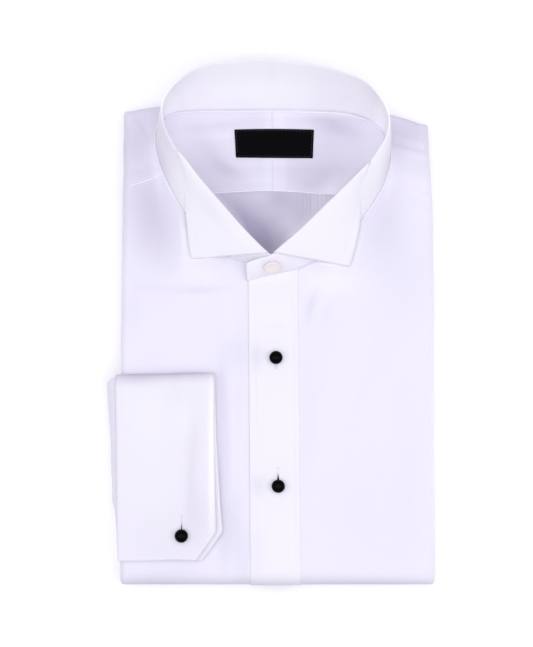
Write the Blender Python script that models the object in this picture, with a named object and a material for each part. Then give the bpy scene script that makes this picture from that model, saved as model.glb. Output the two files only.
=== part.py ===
"""A long sleeve formal shirt with a wing collar, folded flat.

Everything is worked out in millimetres in a working frame whose X = 0 is the middle of the placket
and whose Y = 0 is the fold at the hem, +Y towards the collar, Z = 0 the surface it lies on. The last
step turns millimetres into metres and moves the origin to the middle of the footprint.

Every cloth piece is a wall: a sheet of outer points and a sheet of inner points joined at the border.
The pieces that wrap the folded pack are read from one body surface at different depths, so that they
nest in each other with an even gap.
"""
import math

import bpy
from mathutils import Vector

METRES_PER_MM = 0.001

# ---- cloth ----
CLOTH = 1.2            # shirting with its seam allowance
INTERLINED = 1.8       # collar and cuff, two layers with interlining
PLACKET_THICK = 1.5
GAP = 0.35             # clear space between neighbouring pieces

# ---- folded pack ----
SIDE_LEFT = -108.8
SIDE_RIGHT = 116.8
SIDE_TAPER_LEFT = 1.0       # how far each side draws in at the shoulder
SIDE_TAPER_RIGHT = 3.4
PACK_TOP = 22.0             # height of the fronts above the surface
TUCK_LEVEL = 7.0            # height at which the fronts turn in under the pack
TUCK_DEPTH = 6.0
ROUND_SIDE = 5.5            # how far a folded edge takes to round over, seen from above
ROUND_HEM = 6.5
FLAT_HEM = ROUND_HEM        # Y where the flat top ends at the hem fold
ROUND_SHOULDER = 5.0
SHOULDER_DROP = 4.5         # the shoulders lie lower than the chest
NAPE_DROP = 1.7             # and the back neck lower still
NECK_HALF_WIDTH = 84.0
NECK_CENTRE = (1.0, 283.5)
NECK_POINTED = 0.8          # how much the neck narrows to its V, 0 for a half ellipse
CORNER_POWER = 4.0          # 2 gives round corners in plan, higher gives squarer ones

# the shoulder fold, seen from above
SHOULDER_LINE = (
    dict(x=-108.8, y=341.0),
    dict(x=-84.0, y=345.2),
    dict(x=-50.0, y=347.6),
    dict(x=0.0, y=348.0),
    dict(x=52.0, y=346.6),
    dict(x=86.0, y=339.6),
    dict(x=116.8, y=330.0),
)
# where yoke and front are sewn together
YOKE_SEAM_RIGHT = (dict(x=-108.8, y=284.8), dict(x=-92.0, y=290.0), dict(x=-76.0, y=296.5))
YOKE_SEAM_LEFT = (dict(x=78.0, y=293.5), dict(x=96.0, y=287.5), dict(x=116.8, y=278.5))

# soft folds of the chest: a ridge or trough from one end to the other
CHEST_FOLDS = (
    dict(x0=-66.0, y0=236.0, x1=-36.0, y1=196.0, width=9.0, height=0.9),
    dict(x0=-92.0, y0=252.0, x1=-60.0, y1=204.0, width=12.0, height=-0.9),
    dict(x0=62.0, y0=222.0, x1=52.0, y1=120.0, width=13.0, height=-0.8),
    dict(x0=84.0, y0=268.0, x1=92.0, y1=160.0, width=16.0, height=0.9),
)

# ---- neck opening ----
NECK_FLOOR = 11.8           # inside of the back, seen through the V
NAPE_LEVEL = 15.8           # where the yoke meets the collar at the back
MASK_INNER = 11.0           # how far the hollow reaches in under the fronts
MASK_OUTER = 20.3
YOKE_BOTTOM = (dict(x=-62.0, y=280.0), dict(x=-40.6, y=282.6), dict(x=0.0, y=284.6),
               dict(x=45.2, y=281.4), dict(x=66.0, y=279.0))
BACK_LOW = 236.0            # where the back goes out of sight under the fronts
BACK_TUCKS = (dict(x=27.5, width=1.8), dict(x=33.5, width=2.2))
BACK_TUCK_HEIGHT = 1.1
BACK_TUCK_RUN = 26.0

# ---- collar: the band from its hidden right end, round the nape, to its left end on top ----
# seam is where it is sewn to the shirt, top is its upper edge or the fold of the wing
COLLAR = (
    dict(seam=(-1.5, 228.6), top=(-0.6, 235.2, 36.4), lift=0.0),
    dict(seam=(-17.3, 229.8), top=(-6.0, 239.8, 41.5), lift=0.0),
    dict(seam=(-33.8, 237.5), top=(-20.6, 254.5, 44.0), lift=0.0),
    dict(seam=(-49.6, 251.1), top=(-36.1, 272.1, 46.6), lift=0.0),
    dict(seam=(-63.6, 268.9), top=(-52.3, 290.2, 49.6), lift=0.0),
    dict(seam=(-72.7, 285.1), top=(-61.2, 300.4, 51.8), lift=0.0),
    dict(seam=(-79.2, 299.6), top=(-67.5, 308.6, 53.0), lift=0.0),
    dict(seam=(-82.9, 313.0), top=(-73.0, 319.2, 53.4), lift=0.0),
    dict(seam=(-82.8, 326.5), top=(-76.9, 331.5, 53.6), lift=0.0),
    dict(seam=(-78.6, 336.4), top=(-75.9, 343.6, 53.2), lift=0.0),
    dict(seam=(-69.4, 341.2), top=(-68.5, 354.6, 52.4), lift=0.0),
    dict(seam=(-53.5, 342.4), top=(-52.3, 364.0, 51.2), lift=0.0),
    dict(seam=(-26.7, 342.7), top=(-26.1, 370.2, 50.2), lift=0.0),
    dict(seam=(0.0, 342.8), top=(0.0, 371.6, 50.0), lift=0.0),
    dict(seam=(28.9, 342.4), top=(29.7, 368.2, 50.2), lift=0.0),
    dict(seam=(49.1, 341.2), top=(51.6, 362.4, 51.2), lift=0.0),
    dict(seam=(62.8, 338.6), top=(66.0, 355.6, 52.2), lift=0.0),
    dict(seam=(74.4, 333.4), top=(76.2, 346.0, 53.0), lift=0.0),
    dict(seam=(82.0, 324.4), top=(82.6, 335.6, 53.6), lift=0.0),
    dict(seam=(84.7, 313.0), top=(83.6, 325.0, 53.6), lift=0.0),
    dict(seam=(83.9, 301.1), top=(80.4, 315.3, 53.4), lift=0.0),
    dict(seam=(80.2, 288.6), top=(74.8, 307.2, 52.8), lift=0.0),
    dict(seam=(73.6, 276.0), top=(67.6, 298.6, 51.6), lift=0.0),
    dict(seam=(63.6, 261.6), top=(55.2, 285.4, 49.4), lift=0.0),
    dict(seam=(48.9, 245.7), top=(38.2, 269.4, 46.6), lift=0.2),
    dict(seam=(31.6, 232.9), top=(20.4, 253.2, 43.9), lift=0.8),
    dict(seam=(17.2, 226.1), top=(7.4, 241.6, 42.0), lift=1.9),
    dict(seam=(3.6, 223.8), top=(-1.2, 234.6, 40.8), lift=1.9),
    dict(seam=(-7.2, 221.4), top=(-9.5, 232.6, 39.4), lift=1.9),
    dict(seam=(-17.6, 218.8), top=(-18.2, 229.2, 37.4), lift=1.9),
)
WING_RIGHT_ROWS = (1, 6)    # rows of the band along which each wing is folded over
WING_LEFT_ROWS = (27, 22)
COLLAR_STEPS = 2            # stations between two rows
BAND_ROWS = 4
BAND_BOW = 1.2              # how far the band bellies out between seam and edge

# outer edge of each wing, from the end of the fold near the shoulder to the point, then to the front
WING_RIGHT_EDGE = (
    dict(x=-69.6, y=306.6, z=52.2),
    dict(x=-64.6, y=296.4, z=48.2),
    dict(x=-62.3, y=281.5, z=43.4),
    dict(x=-60.8, y=260.4, z=36.4),
    dict(x=-59.3, y=243.0, z=30.4),
    dict(x=-57.4, y=232.9, z=27.2),
)
WING_LEFT_EDGE = (
    dict(x=69.6, y=296.4, z=51.2),
    dict(x=66.9, y=287.2, z=47.6),
    dict(x=64.8, y=273.5, z=42.8),
    dict(x=63.6, y=258.1, z=37.2),
    dict(x=60.6, y=240.0, z=30.6),
    dict(x=56.7, y=228.2, z=27.2),
)
WING_ROWS = 10
WING_COLUMNS = 6
WING_CREST = 1.9            # the fold stands this far above the edge of the band
WING_FRONT_BOW = 1.6        # the front edge of a wing is drawn up a little in its middle

# ---- placket ----
PLACKET_LEFT_TOP, PLACKET_RIGHT_TOP = -16.9, 18.3
PLACKET_LEFT_HEM, PLACKET_RIGHT_HEM = -15.1, 20.5
FRONTS_UNDER_PLACKET = 6.0
PLACKET_MARKS = (FLAT_HEM, 24.0, 46.0, 104.0, 130.0, 186.0, 206.0)  # rows between the stud holes
HOLE_HALF_WIDTH = 1.4
STUD_UPPER = dict(x=2.8, y=162.8, hole_low=154.6, hole_high=166.6)
STUD_LOWER = dict(x=4.4, y=70.6, hole_low=68.6, hole_high=80.6)

# ---- studs and link ----
BALL_RADIUS = 4.65
BALL_FLAT = 0.86            # a ball is a little lower than it is wide
POST_RADIUS = 0.95
DISC_THICK = 0.9
DISC_RADIUS = 4.2
LATHE_SIDES = 18

# ---- collar button ----
BUTTON = dict(x=-0.4, up=0.5, radius=5.7, thick=2.2)     # up: share of the band's height

# ---- neck label ----
LABEL_CORNERS = dict(left=-26.4, right=30.0, low=308.4, high=328.6)
LABEL_THICK = 0.8

# ---- right cuff and sleeve ----
CUFF = dict(seam=-108.6, free=-40.4, fold=149.6, end=17.9, mitre=19.4)
CUFF_UNDER_SHIFT = 4.4      # the under layer shows past the upper one at its free edge
CUFF_FOLD_RADIUS = 1.6      # half the space between the layers at the fold, plus half the wall
CUFF_LIFT = 2.9             # the middle of the under layer above the front
LINK = dict(x=-65.4, y=34.9, hole_low=33.0, hole_high=46.2)
SLEEVE_THICK = 2.0          # the flattened sleeve, two layers
SLEEVE_RISE = 5.2           # where it meets the cuff, above the front
SLEEVE_UNDER = 2.2          # how far it turns in under the pack
# how far the sleeve stands out from the side of the pack
SLEEVE_EDGE = (
    dict(y=19.0, out=0.9),
    dict(y=27.0, out=2.0),
    dict(y=45.4, out=4.0),
    dict(y=62.0, out=6.2),
    dict(y=80.0, out=6.0),
    dict(y=99.0, out=7.4),
    dict(y=120.0, out=8.2),
    dict(y=142.0, out=10.2),
)

# colour, roughness and metallic value of each material
MATERIALS = dict(
    poplin=((0.89, 0.88, 0.93), 0.80, 0.0),
    interlined=((0.93, 0.93, 0.96), 0.72, 0.0),
    ivory=((0.90, 0.84, 0.78), 0.35, 0.0),
    onyx=((0.008, 0.008, 0.010), 0.10, 0.0),
    label=((0.012, 0.012, 0.014), 0.75, 0.0),
)


# ---------------------------------------------------------------- small helpers

def clear_scene():
    for thing in list(bpy.data.objects):
        bpy.data.objects.remove(thing, do_unlink=True)


def mix(a, b, t):
    return a + (b - a) * t


def smooth_step(low, high, value):
    t = min(1.0, max(0.0, (value - low) / (high - low)))
    return t * t * (3.0 - 2.0 * t)


def spline(values, t):
    """Catmull-Rom through evenly spaced values (numbers or vectors), t from 0 to 1."""
    last = len(values) - 1
    place = min(max(t, 0.0), 1.0) * last
    i = min(int(place), last - 1)
    f = place - i
    b, c = values[i], values[i + 1]
    a = values[i - 1] if i > 0 else b * 2 - c
    d = values[i + 2] if i + 2 <= last else c * 2 - b
    return (b * 2 + (c - a) * f + (a * 2 - b * 5 + c * 4 - d) * f * f
            + (b * 3 - a - c * 3 + d) * f * f * f) * 0.5


def read_table(rows, key, value, at):
    """Straight-line reading of one column of a table against another, rising one."""
    if at <= rows[0][key]:
        return rows[0][value]
    for low, high in zip(rows, rows[1:]):
        if at <= high[key]:
            return mix(low[value], high[value], (at - low[key]) / (high[key] - low[key]))
    return rows[-1][value]


def steps(count):
    return [i / count for i in range(count + 1)]


# ---------------------------------------------------------------- the folded pack

def side_left(y):
    return SIDE_LEFT + SIDE_TAPER_LEFT * smooth_step(180.0, 340.0, y)


def side_right(y):
    return SIDE_RIGHT - SIDE_TAPER_RIGHT * smooth_step(250.0, 335.0, y)


def shoulder_line(x):
    return read_table(SHOULDER_LINE, "x", "y", x)


def fold_height(fold, x, y):
    """Height that one soft fold adds at a point: round across, fading out at both ends."""
    along_x, along_y = fold["x1"] - fold["x0"], fold["y1"] - fold["y0"]
    length = math.hypot(along_x, along_y)
    run = ((x - fold["x0"]) * along_x + (y - fold["y0"]) * along_y) / length
    across = ((x - fold["x0"]) * along_y - (y - fold["y0"]) * along_x) / length
    ends = smooth_step(-0.25, 0.25, run / length) * smooth_step(-0.25, 0.25, 1.0 - run / length)
    return fold["height"] * math.exp(-(across / fold["width"]) ** 2) * ends


def body_top(x, y):
    """Height of the outer surface of the fronts and shoulders."""
    to_shoulder = smooth_step(284.0, 341.0, y)
    inward = 1.0 - min(1.0, (x / NECK_HALF_WIDTH) ** 2)
    rise = 2.0 * math.exp(-(x / 46.0) ** 2 - ((y - 226.0) / 30.0) ** 2)
    folds = sum(fold_height(fold, x, y) for fold in CHEST_FOLDS)
    return PACK_TOP + rise - to_shoulder * (SHOULDER_DROP + NAPE_DROP * inward) + folds


def neck_floor(x, y):
    """Height of the inside of the back and yoke, seen through the neck."""
    to_nape = smooth_step(288.0, 341.0, y)
    sides = 3.0 * (x / NECK_HALF_WIDTH) ** 2 * (1.0 - to_nape)
    return mix(NECK_FLOOR, NAPE_LEVEL, to_nape) + sides


def edge_profile(turn, top, depth):
    """One folded edge: turn 0 to 1 is the half round, 1 to 2 the stretch tucked in under the pack.

    Gives how far out (as a share of the edge's own rounding, and in millimetres) and the height.
    """
    half = (top - TUCK_LEVEL) / 2.0 - depth
    if turn <= 1.0:
        angle = math.pi * turn
        return math.sin(angle), 0.0, TUCK_LEVEL + depth + half * (1.0 + math.cos(angle))
    return 0.0, -TUCK_DEPTH * (turn - 1.0), TUCK_LEVEL + depth


def corner_direction(fan):
    """Unit step, in plan, at a corner: fan 0 points along X, fan 1 along Y."""
    across, along = math.cos(fan * math.pi / 2.0), math.sin(fan * math.pi / 2.0)
    size = (abs(across) ** CORNER_POWER + abs(along) ** CORNER_POWER) ** (1.0 / CORNER_POWER)
    return across / size, along / size


class Station:
    """A place on the border of the pack's flat top, with the way that the cloth leaves it.

    The out steps carry it over the edge; the back steps carry it in under the pack, to a mitre at a
    corner, so that two neighbouring sides do not run into each other there.
    """

    def __init__(self, x, y, out_x, out_y, round_y, back=None):
        self.x, self.y, self.out_x, self.out_y, self.round_y = x, y, out_x, out_y, round_y
        self.back_x, self.back_y = back or (out_x, out_y)

    def at(self, reach_x, reach_y, run, z):
        return Vector((self.x + self.out_x * reach_x + self.back_x * run,
                       self.y + self.out_y * reach_y + self.back_y * run, z))

    def point(self, turn, depth):
        share, run, z = edge_profile(turn, body_top(self.x, self.y), depth)
        return self.at(share * (ROUND_SIDE - depth), share * (self.round_y - depth), run, z)


CORNER_FAN = 3


def flat_side(side, y):
    """X where the flat top of the pack ends, on the wearer's right (-1) or left (1)."""
    return side_left(y) + ROUND_SIDE if side < 0 else side_right(y) - ROUND_SIDE


def flat_shoulder(x):
    return shoulder_line(x) - ROUND_SHOULDER


def corner_x(side):
    """X of the corner between side and shoulder; each depends a little on the other."""
    x = flat_side(side, 340.0)
    for _ in range(4):
        x = flat_side(side, flat_shoulder(x))
    return x


def yoke_seam(side, x):
    return read_table(YOKE_SEAM_RIGHT if side < 0 else YOKE_SEAM_LEFT, "x", "y", x)


def yoke_seam_ends(side):
    """X of the seam between yoke and front where it meets the neck, and where the pack rounds over."""
    x_neck = neck_x(side, yoke_seam(side, side * NECK_HALF_WIDTH))
    return x_neck, flat_side(side, yoke_seam(side, side * 110.0))


def side_station(side, y):
    return Station(flat_side(side, y), y, side, 0.0, ROUND_HEM)


def hem_station(x):
    return Station(x, FLAT_HEM, 0.0, -1.0, ROUND_HEM)


def shoulder_station(x):
    return Station(x, flat_shoulder(x), 0.0, 1.0, ROUND_SHOULDER)


def corner_stations(x_side, y_side, first="side"):
    """The fan of stations round one corner, from the side to the end or the other way."""
    if y_side < 0:
        x, y, round_y = flat_side(x_side, FLAT_HEM), FLAT_HEM, ROUND_HEM
    else:
        x = corner_x(x_side)
        y, round_y = flat_shoulder(x), ROUND_SHOULDER
    fan = []
    for step in range(CORNER_FAN + 1):
        across, along = corner_direction(step / CORNER_FAN)
        fan.append(Station(x, y, across * x_side, along * y_side, round_y, back=(x_side, y_side)))
    return fan if first == "side" else fan[::-1]


# ---------------------------------------------------------------- sheets and walls

class Sheet:
    """Outer and inner points of one wall, built up from patches that share their borders."""

    def __init__(self):
        self.outer, self.inner, self.faces, self.index = [], [], [], {}

    def vertex(self, outer, inner):
        key = tuple(round(value, 3) for value in outer)
        if key not in self.index:
            self.index[key] = len(self.outer)
            self.outer.append(outer)
            self.inner.append(inner)
        return self.index[key]

    def patch(self, pairs, holes=()):
        """pairs[row][column] is (outer point, inner point); holes are (row, column) left open."""
        ids = [[self.vertex(*pair) for pair in row] for row in pairs]
        for r in range(len(ids) - 1):
            for c in range(len(ids[0]) - 1):
                if (r, c) in holes:
                    continue
                corners = [ids[r][c], ids[r][c + 1], ids[r + 1][c + 1], ids[r + 1][c]]
                ring = [v for i, v in enumerate(corners) if v != corners[i - 1]]
                if len(set(ring)) > 2:
                    self.faces.append(ring)

    def wall(self, name, material, smooth=True):
        """Close the sheet into one body: outer faces, inner faces, and a rim along the border."""
        count = len(self.outer)
        edges = {}
        for face in self.faces:
            for i, v in enumerate(face):
                edges[(face[i - 1], v)] = True
        rim = [(a, b) for a, b in edges if (b, a) not in edges]
        faces = [list(face) for face in self.faces]
        faces += [[v + count for v in reversed(face)] for face in self.faces]
        faces += [[b, a, a + count, b + count] for a, b in rim]
        return make_object(name, self.outer + self.inner, faces, material, smooth)


def make_object(name, points, faces, material, smooth=True):
    mesh = bpy.data.meshes.new(name)
    mesh.from_pydata([tuple(p) for p in points], [], faces)
    mesh.validate()
    mesh.update()
    thing = bpy.data.objects.new(name, mesh)
    bpy.context.scene.collection.objects.link(thing)
    mesh.materials.append(material)
    if smooth:
        mesh.shade_smooth()
        mesh.set_sharp_from_angle(angle=math.radians(40.0))
    return thing


def offset_sheet(rows, thick, flat_first=False):
    """Outer and inner points of a wall whose middle is the grid rows, half the wall to each side."""
    height, width = len(rows), len(rows[0])
    pairs = []
    for r in range(height):
        line = []
        for c in range(width):
            left, right = rows[r][max(c - 1, 0)], rows[r][min(c + 1, width - 1)]
            low, high = rows[max(r - 1, 0)][c], rows[min(r + 1, height - 1)][c]
            normal = (right - left).cross(high - low)
            if flat_first and r == 0:
                normal.z = 0.0
            normal.normalize()
            line.append((rows[r][c] + normal * thick / 2.0, rows[r][c] - normal * thick / 2.0))
        pairs.append(line)
    return pairs


def make_materials():
    made = {}
    for name, (color, roughness, metallic) in MATERIALS.items():
        material = bpy.data.materials.new(name)
        material.use_nodes = True
        shader = material.node_tree.nodes["Principled BSDF"]
        shader.inputs["Base Color"].default_value = (*color, 1.0)
        shader.inputs["Roughness"].default_value = roughness
        shader.inputs["Metallic"].default_value = metallic
        made[name] = material
    return made


# ---------------------------------------------------------------- collar curves

def collar_station(t):
    """Seam and top of the band at t, 0 to 1 along the rows of the table."""
    seam = spline([Vector(row["seam"]) for row in COLLAR], t)
    top = spline([Vector(row["top"]) for row in COLLAR], t)
    lift = spline([row["lift"] for row in COLLAR], t)
    base = body_top(seam.x, seam.y) + GAP + lift
    return Vector((seam.x, seam.y, base)), top


def collar_stations():
    count = (len(COLLAR) - 1) * COLLAR_STEPS
    return [collar_station(t) for t in steps(count)]


def neck_samples(rows):
    return [spline([Vector(row["seam"]) for row in rows], t) for t in steps(60)]


NECK_SEAM = {-1: neck_samples(COLLAR[1:14]), 1: neck_samples(COLLAR[13:27][::-1])}


def neck_x(side, y):
    """The neck seam as X against Y, on the wearer's right (-1) or left (1), front to nape."""
    samples = NECK_SEAM[side]
    for low, high in zip(samples, samples[1:]):
        if y <= high.y:
            return mix(low.x, high.x, max(0.0, (y - low.y) / max(high.y - low.y, 1e-6)))
    return samples[-1].x


# ---------------------------------------------------------------- fronts, yoke, back

SEAM_ALLOWANCE = 1.0        # the shirt reaches this far in under the band


def interior(x, y):
    return Vector((x, y, body_top(x, y))), Vector((x, y, body_top(x, y) - CLOTH))


TURNS = [0.0, 0.12, 0.25, 0.38, 0.5, 0.62, 0.75, 0.88, 1.0, 2.0]


def wrap_patch(stations):
    return [[(s.point(turn, 0.0), s.point(turn, CLOTH)) for s in stations] for turn in TURNS]


def placket_left(y):
    return mix(PLACKET_LEFT_HEM, PLACKET_LEFT_TOP, y / 220.0)


def placket_right(y):
    return mix(PLACKET_RIGHT_HEM, PLACKET_RIGHT_TOP, y / 220.0)


def front_inner_edge(side, y):
    """X of a front's edge: hidden under the placket below the neck, along the neck seam above."""
    if side < 0:
        under = placket_left(y) + FRONTS_UNDER_PLACKET
        neck = neck_x(-1, y) + SEAM_ALLOWANCE
        return min(under, neck) if y > 224.0 else under
    under = placket_right(y) - FRONTS_UNDER_PLACKET
    neck = neck_x(1, y) - SEAM_ALLOWANCE
    return max(under, neck) if y > 221.0 else under


FRONT_HEIGHTS = (0.0, 0.075, 0.15, 0.225, 0.3, 0.375, 0.45, 0.525, 0.6, 0.67, 0.74, 0.765, 0.79,
                 0.82, 0.85, 0.88, 0.91, 0.94, 0.97, 1.0)
FRONT_COLUMNS = 7


def make_front(name, side, material):
    """A front: its flat part from the placket and neck to the side, then the wrap round side and hem."""
    x_neck, x_side = yoke_seam_ends(side)
    grid = []
    for v in FRONT_HEIGHTS:
        x_inner = front_inner_edge(side, mix(FLAT_HEM, yoke_seam(side, x_neck) - GAP, v))
        x_outer = flat_side(side, mix(FLAT_HEM, yoke_seam(side, x_side) - GAP, v))
        row = []
        for u in steps(FRONT_COLUMNS):
            y = mix(FLAT_HEM, yoke_seam(side, mix(x_neck, x_side, u)) - GAP, v)
            row.append(Vector((mix(x_inner, x_outer, u), y, 0.0)))
        grid.append(row)
    sheet = Sheet()
    pairs = [[interior(p.x, p.y) for p in row] for row in grid]
    wraps = [hem_station(p.x) for p in grid[0][:-1]]
    wraps += corner_stations(side, -1, first="end")
    wraps += [side_station(side, row[-1].y) for row in grid[1:]]
    wrap = wrap_patch(wraps)
    if side > 0:
        sheet.patch(pairs)
        sheet.patch(wrap[::-1])
    else:
        sheet.patch([row[::-1] for row in pairs])
        sheet.patch(wrap)
    return sheet.wall(name, material)


def make_shoulder(name, side, material):
    """Half of the yoke as it shows outside: shoulder, then the turn behind the neck to its middle."""
    x_neck, x_side = yoke_seam_ends(side)
    x_corner = corner_x(side)
    x_top = neck_x(side, flat_shoulder(side * 82.0) - 1.0) - side * SEAM_ALLOWANCE
    grid = []
    for v in steps(7):
        y_inner = mix(yoke_seam(side, x_neck), flat_shoulder(x_top), v)
        x_inner = mix(neck_x(side, y_inner) - side * SEAM_ALLOWANCE, x_top, smooth_step(0.8, 1.0, v))
        x_outer = flat_side(side, mix(yoke_seam(side, x_side), flat_shoulder(x_corner), v))
        row = []
        for u in steps(4):
            low, high = yoke_seam(side, mix(x_neck, x_side, u)), flat_shoulder(mix(x_top, x_corner, u))
            row.append(Vector((mix(x_inner, x_outer, u), mix(low, high, v), 0.0)))
        grid.append(row)
    pairs = [[interior(p.x, p.y) for p in row] for row in grid]
    wraps = [Station(row[-1].x, row[-1].y, side, 0.0, ROUND_HEM) for row in grid[:-1]]
    wraps += corner_stations(side, 1, first="side")
    wraps += [Station(p.x, p.y, 0.0, 1.0, ROUND_SHOULDER) for p in grid[-1][:-1][::-1]]
    wraps += [shoulder_station(mix(x_top, side * GAP / 2.0, t)) for t in steps(6)[1:]]
    wrap = wrap_patch(wraps)
    sheet = Sheet()
    if side > 0:
        sheet.patch(pairs)
        sheet.patch(wrap[::-1])
    else:
        sheet.patch([row[::-1] for row in pairs])
        sheet.patch(wrap)
    return sheet.wall(name, material)


def floor_reach(side, y):
    """How far out the inside pieces go under the shirt: a little past the neck seam."""
    return neck_x(side, max(y, 246.0)) + side * 3.0


def make_yoke_inside(name, side, material):
    """Half of the yoke as its inside shows in the neck, from its bottom seam to the nape."""
    grid = []
    for v in steps(7):
        row = []
        for u in steps(6):
            y_top = flat_shoulder(0.0) - 2.5 * GAP
            y_mid = mix(284.0, y_top, v)
            x = mix(side * GAP / 2.0, floor_reach(side, y_mid), u)
            nape = min(y_top, flat_shoulder(x) - 2.5 * GAP)
            y = mix(read_table(YOKE_BOTTOM, "x", "y", x) + GAP / 2.0, nape, v)
            row.append(Vector((x, y, neck_floor(x, y))))
        grid.append(row if side > 0 else row[::-1])
    sheet = Sheet()
    sheet.patch([[(p, p - Vector((0.0, 0.0, CLOTH))) for p in row] for row in grid])
    return sheet.wall(name, material)


def tuck_height(x, y):
    """Small pressed tucks of the back where it is gathered into the yoke seam."""
    fade = smooth_step(-BACK_TUCK_RUN, 0.0, y - 281.0)
    return sum(BACK_TUCK_HEIGHT * fade * math.exp(-((x - tuck["x"]) / tuck["width"]) ** 2)
               for tuck in BACK_TUCKS)


def make_back(name, material):
    """The back below the yoke, as its inside shows in the V."""
    columns = {round(mix(YOKE_BOTTOM[0]["x"], -YOKE_BOTTOM[0]["x"], u), 2) for u in steps(10)}
    for tuck in BACK_TUCKS:
        columns |= {tuck["x"] - tuck["width"], tuck["x"], tuck["x"] + tuck["width"]}
    rows = []
    for v in steps(6):
        row = []
        for x in sorted(columns):
            y = mix(BACK_LOW, read_table(YOKE_BOTTOM, "x", "y", x) - GAP / 2.0, v)
            at = x * mix(0.5, 1.0, smooth_step(0.0, 0.8, v))
            floor = Vector((at, y, neck_floor(at, y)))
            row.append((floor + Vector((0.0, 0.0, tuck_height(x, y))), floor - Vector((0.0, 0.0, CLOTH))))
        rows.append(row)
    sheet = Sheet()
    sheet.patch(rows)
    return sheet.wall(name, material)


def make_label(name, material):
    """A woven strip that lies on the inside of the yoke, across its middle seam."""
    sheet = Sheet()
    rows = []
    for v in steps(4):
        y = mix(LABEL_CORNERS["low"], LABEL_CORNERS["high"], v)
        row = []
        for u in steps(8):
            x = mix(LABEL_CORNERS["left"], LABEL_CORNERS["right"], u)
            z = neck_floor(x, y) + GAP
            row.append((Vector((x, y, z + LABEL_THICK)), Vector((x, y, z))))
        rows.append(row)
    sheet.patch(rows)
    return sheet.wall(name, material)


# ---------------------------------------------------------------- placket

def make_placket(name, material):
    """The strip on the left front, with a slot for each stud, wrapped round the hem fold."""
    holes_at = (STUD_LOWER, STUD_UPPER)
    marks = list(PLACKET_MARKS)
    for hole in holes_at:
        marks += [hole["hole_low"], hole["hole_high"]]
    marks = sorted(marks) + [None]
    rise = GAP + PLACKET_THICK
    pairs, holes = [], []
    for r, mark in enumerate(marks):
        row = []
        shares = [0.0, 0.16, 0.34, None, None, 0.74, 0.87, 1.0]
        for c, share in enumerate(shares):
            y = 200.0 if mark is None else mark
            centre = read_table((dict(y=STUD_LOWER["y"], x=STUD_LOWER["x"]),
                                 dict(y=STUD_UPPER["y"], x=STUD_UPPER["x"])), "y", "x", y)
            if share is None:
                x = centre + (HOLE_HALF_WIDTH if c == 4 else -HOLE_HALF_WIDTH)
            else:
                x = mix(placket_left(y), placket_right(y), share)
            if mark is None:
                y = placket_top(x)
            z = body_top(x, y)
            row.append((Vector((x, y, z + rise)), Vector((x, y, z + GAP))))
        pairs.append(row)
        if any(mark == hole["hole_low"] for hole in holes_at):
            holes.append((r, 3))
    sheet = Sheet()
    sheet.patch(pairs, holes)
    stations = [hem_station(pair[0].x) for pair in pairs[0]]
    wrap = [[(s.point(turn, -rise), s.point(turn, -GAP)) for s in stations] for turn in TURNS[:7]]
    sheet.patch(wrap[::-1])
    return sheet.wall(name, material)


def placket_top(x):
    """The placket ends under the band, just inside the neck seam."""
    seam = [spline([Vector(row["seam"]) for row in COLLAR[26:]], t) for t in steps(20)][::-1]
    rows = [dict(x=p.x, y=p.y) for p in seam]
    return read_table(rows, "x", "y", x) + SEAM_ALLOWANCE


# ---------------------------------------------------------------- collar

def make_band(name, material):
    """The standing band: a ring that overlaps itself at the front, bellied a little between its edges."""
    stations = collar_stations()
    centre = Vector((0.0, 290.0, 0.0))
    rows = []
    for v in steps(BAND_ROWS):
        row = []
        for seam, top in stations:
            point = seam.lerp(top, v)
            outward = (point - centre)
            outward.z = 0.0
            outward.normalize()
            row.append(point + outward * BAND_BOW * 4.0 * v * (1.0 - v))
        rows.append(row)
    sheet = Sheet()
    sheet.patch(offset_sheet([row[::-1] for row in rows], INTERLINED, flat_first=True))
    return sheet.wall(name, material)


def make_wing(name, side, material):
    """A front corner of the collar, folded over along a straight line and hanging to its point."""
    first, last = WING_RIGHT_ROWS if side < 0 else WING_LEFT_ROWS
    edge = [Vector((row["x"], row["y"], row["z"]))
            for row in (WING_RIGHT_EDGE if side < 0 else WING_LEFT_EDGE)]
    start, end = last / (len(COLLAR) - 1), first / (len(COLLAR) - 1)
    rows = []
    for s in steps(WING_ROWS):
        fold = collar_station(mix(start, end, s))[1] + Vector((0.0, 0.0, WING_CREST))
        free = spline(edge, s)
        plan = Vector((free.x - fold.x, free.y - fold.y, 0.0))
        shoulder = fold + plan * 0.42 + Vector((0.0, 0.0, 0.4))
        row = []
        for u in steps(WING_COLUMNS):
            point = fold.lerp(shoulder, u).lerp(shoulder.lerp(free, u), u)
            bow = WING_FRONT_BOW * s * 4.0 * u * (1.0 - u)
            row.append(point + Vector((0.0, bow, 0.0)))
        rows.append(row if side < 0 else row[::-1])
    sheet = Sheet()
    sheet.patch(offset_sheet(rows, INTERLINED))
    return sheet.wall(name, material)


# ---------------------------------------------------------------- button, studs, link

def make_lathe(name, profile, place, direction, material):
    """A turned piece: profile rows are (radius, height), the first and last on the axis."""
    turn = direction.to_track_quat("Z", "Y")
    points, faces, rings = [], [], []
    for radius, height in profile:
        if radius == 0.0:
            rings.append([len(points)] * LATHE_SIDES)
            points.append(place + turn @ Vector((0.0, 0.0, height)))
            continue
        ring = []
        for i in range(LATHE_SIDES):
            angle = 2.0 * math.pi * i / LATHE_SIDES
            spoke = Vector((radius * math.cos(angle), radius * math.sin(angle), height))
            ring.append(len(points))
            points.append(place + turn @ spoke)
        rings.append(ring)
    for low, high in zip(rings, rings[1:]):
        for i in range(LATHE_SIDES):
            j = (i + 1) % LATHE_SIDES
            corners = [low[i], low[j], high[j], high[i]]
            face = [v for k, v in enumerate(corners) if v != corners[k - 1]]
            faces.append(face)
    return make_object(name, points, faces, material)


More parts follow.
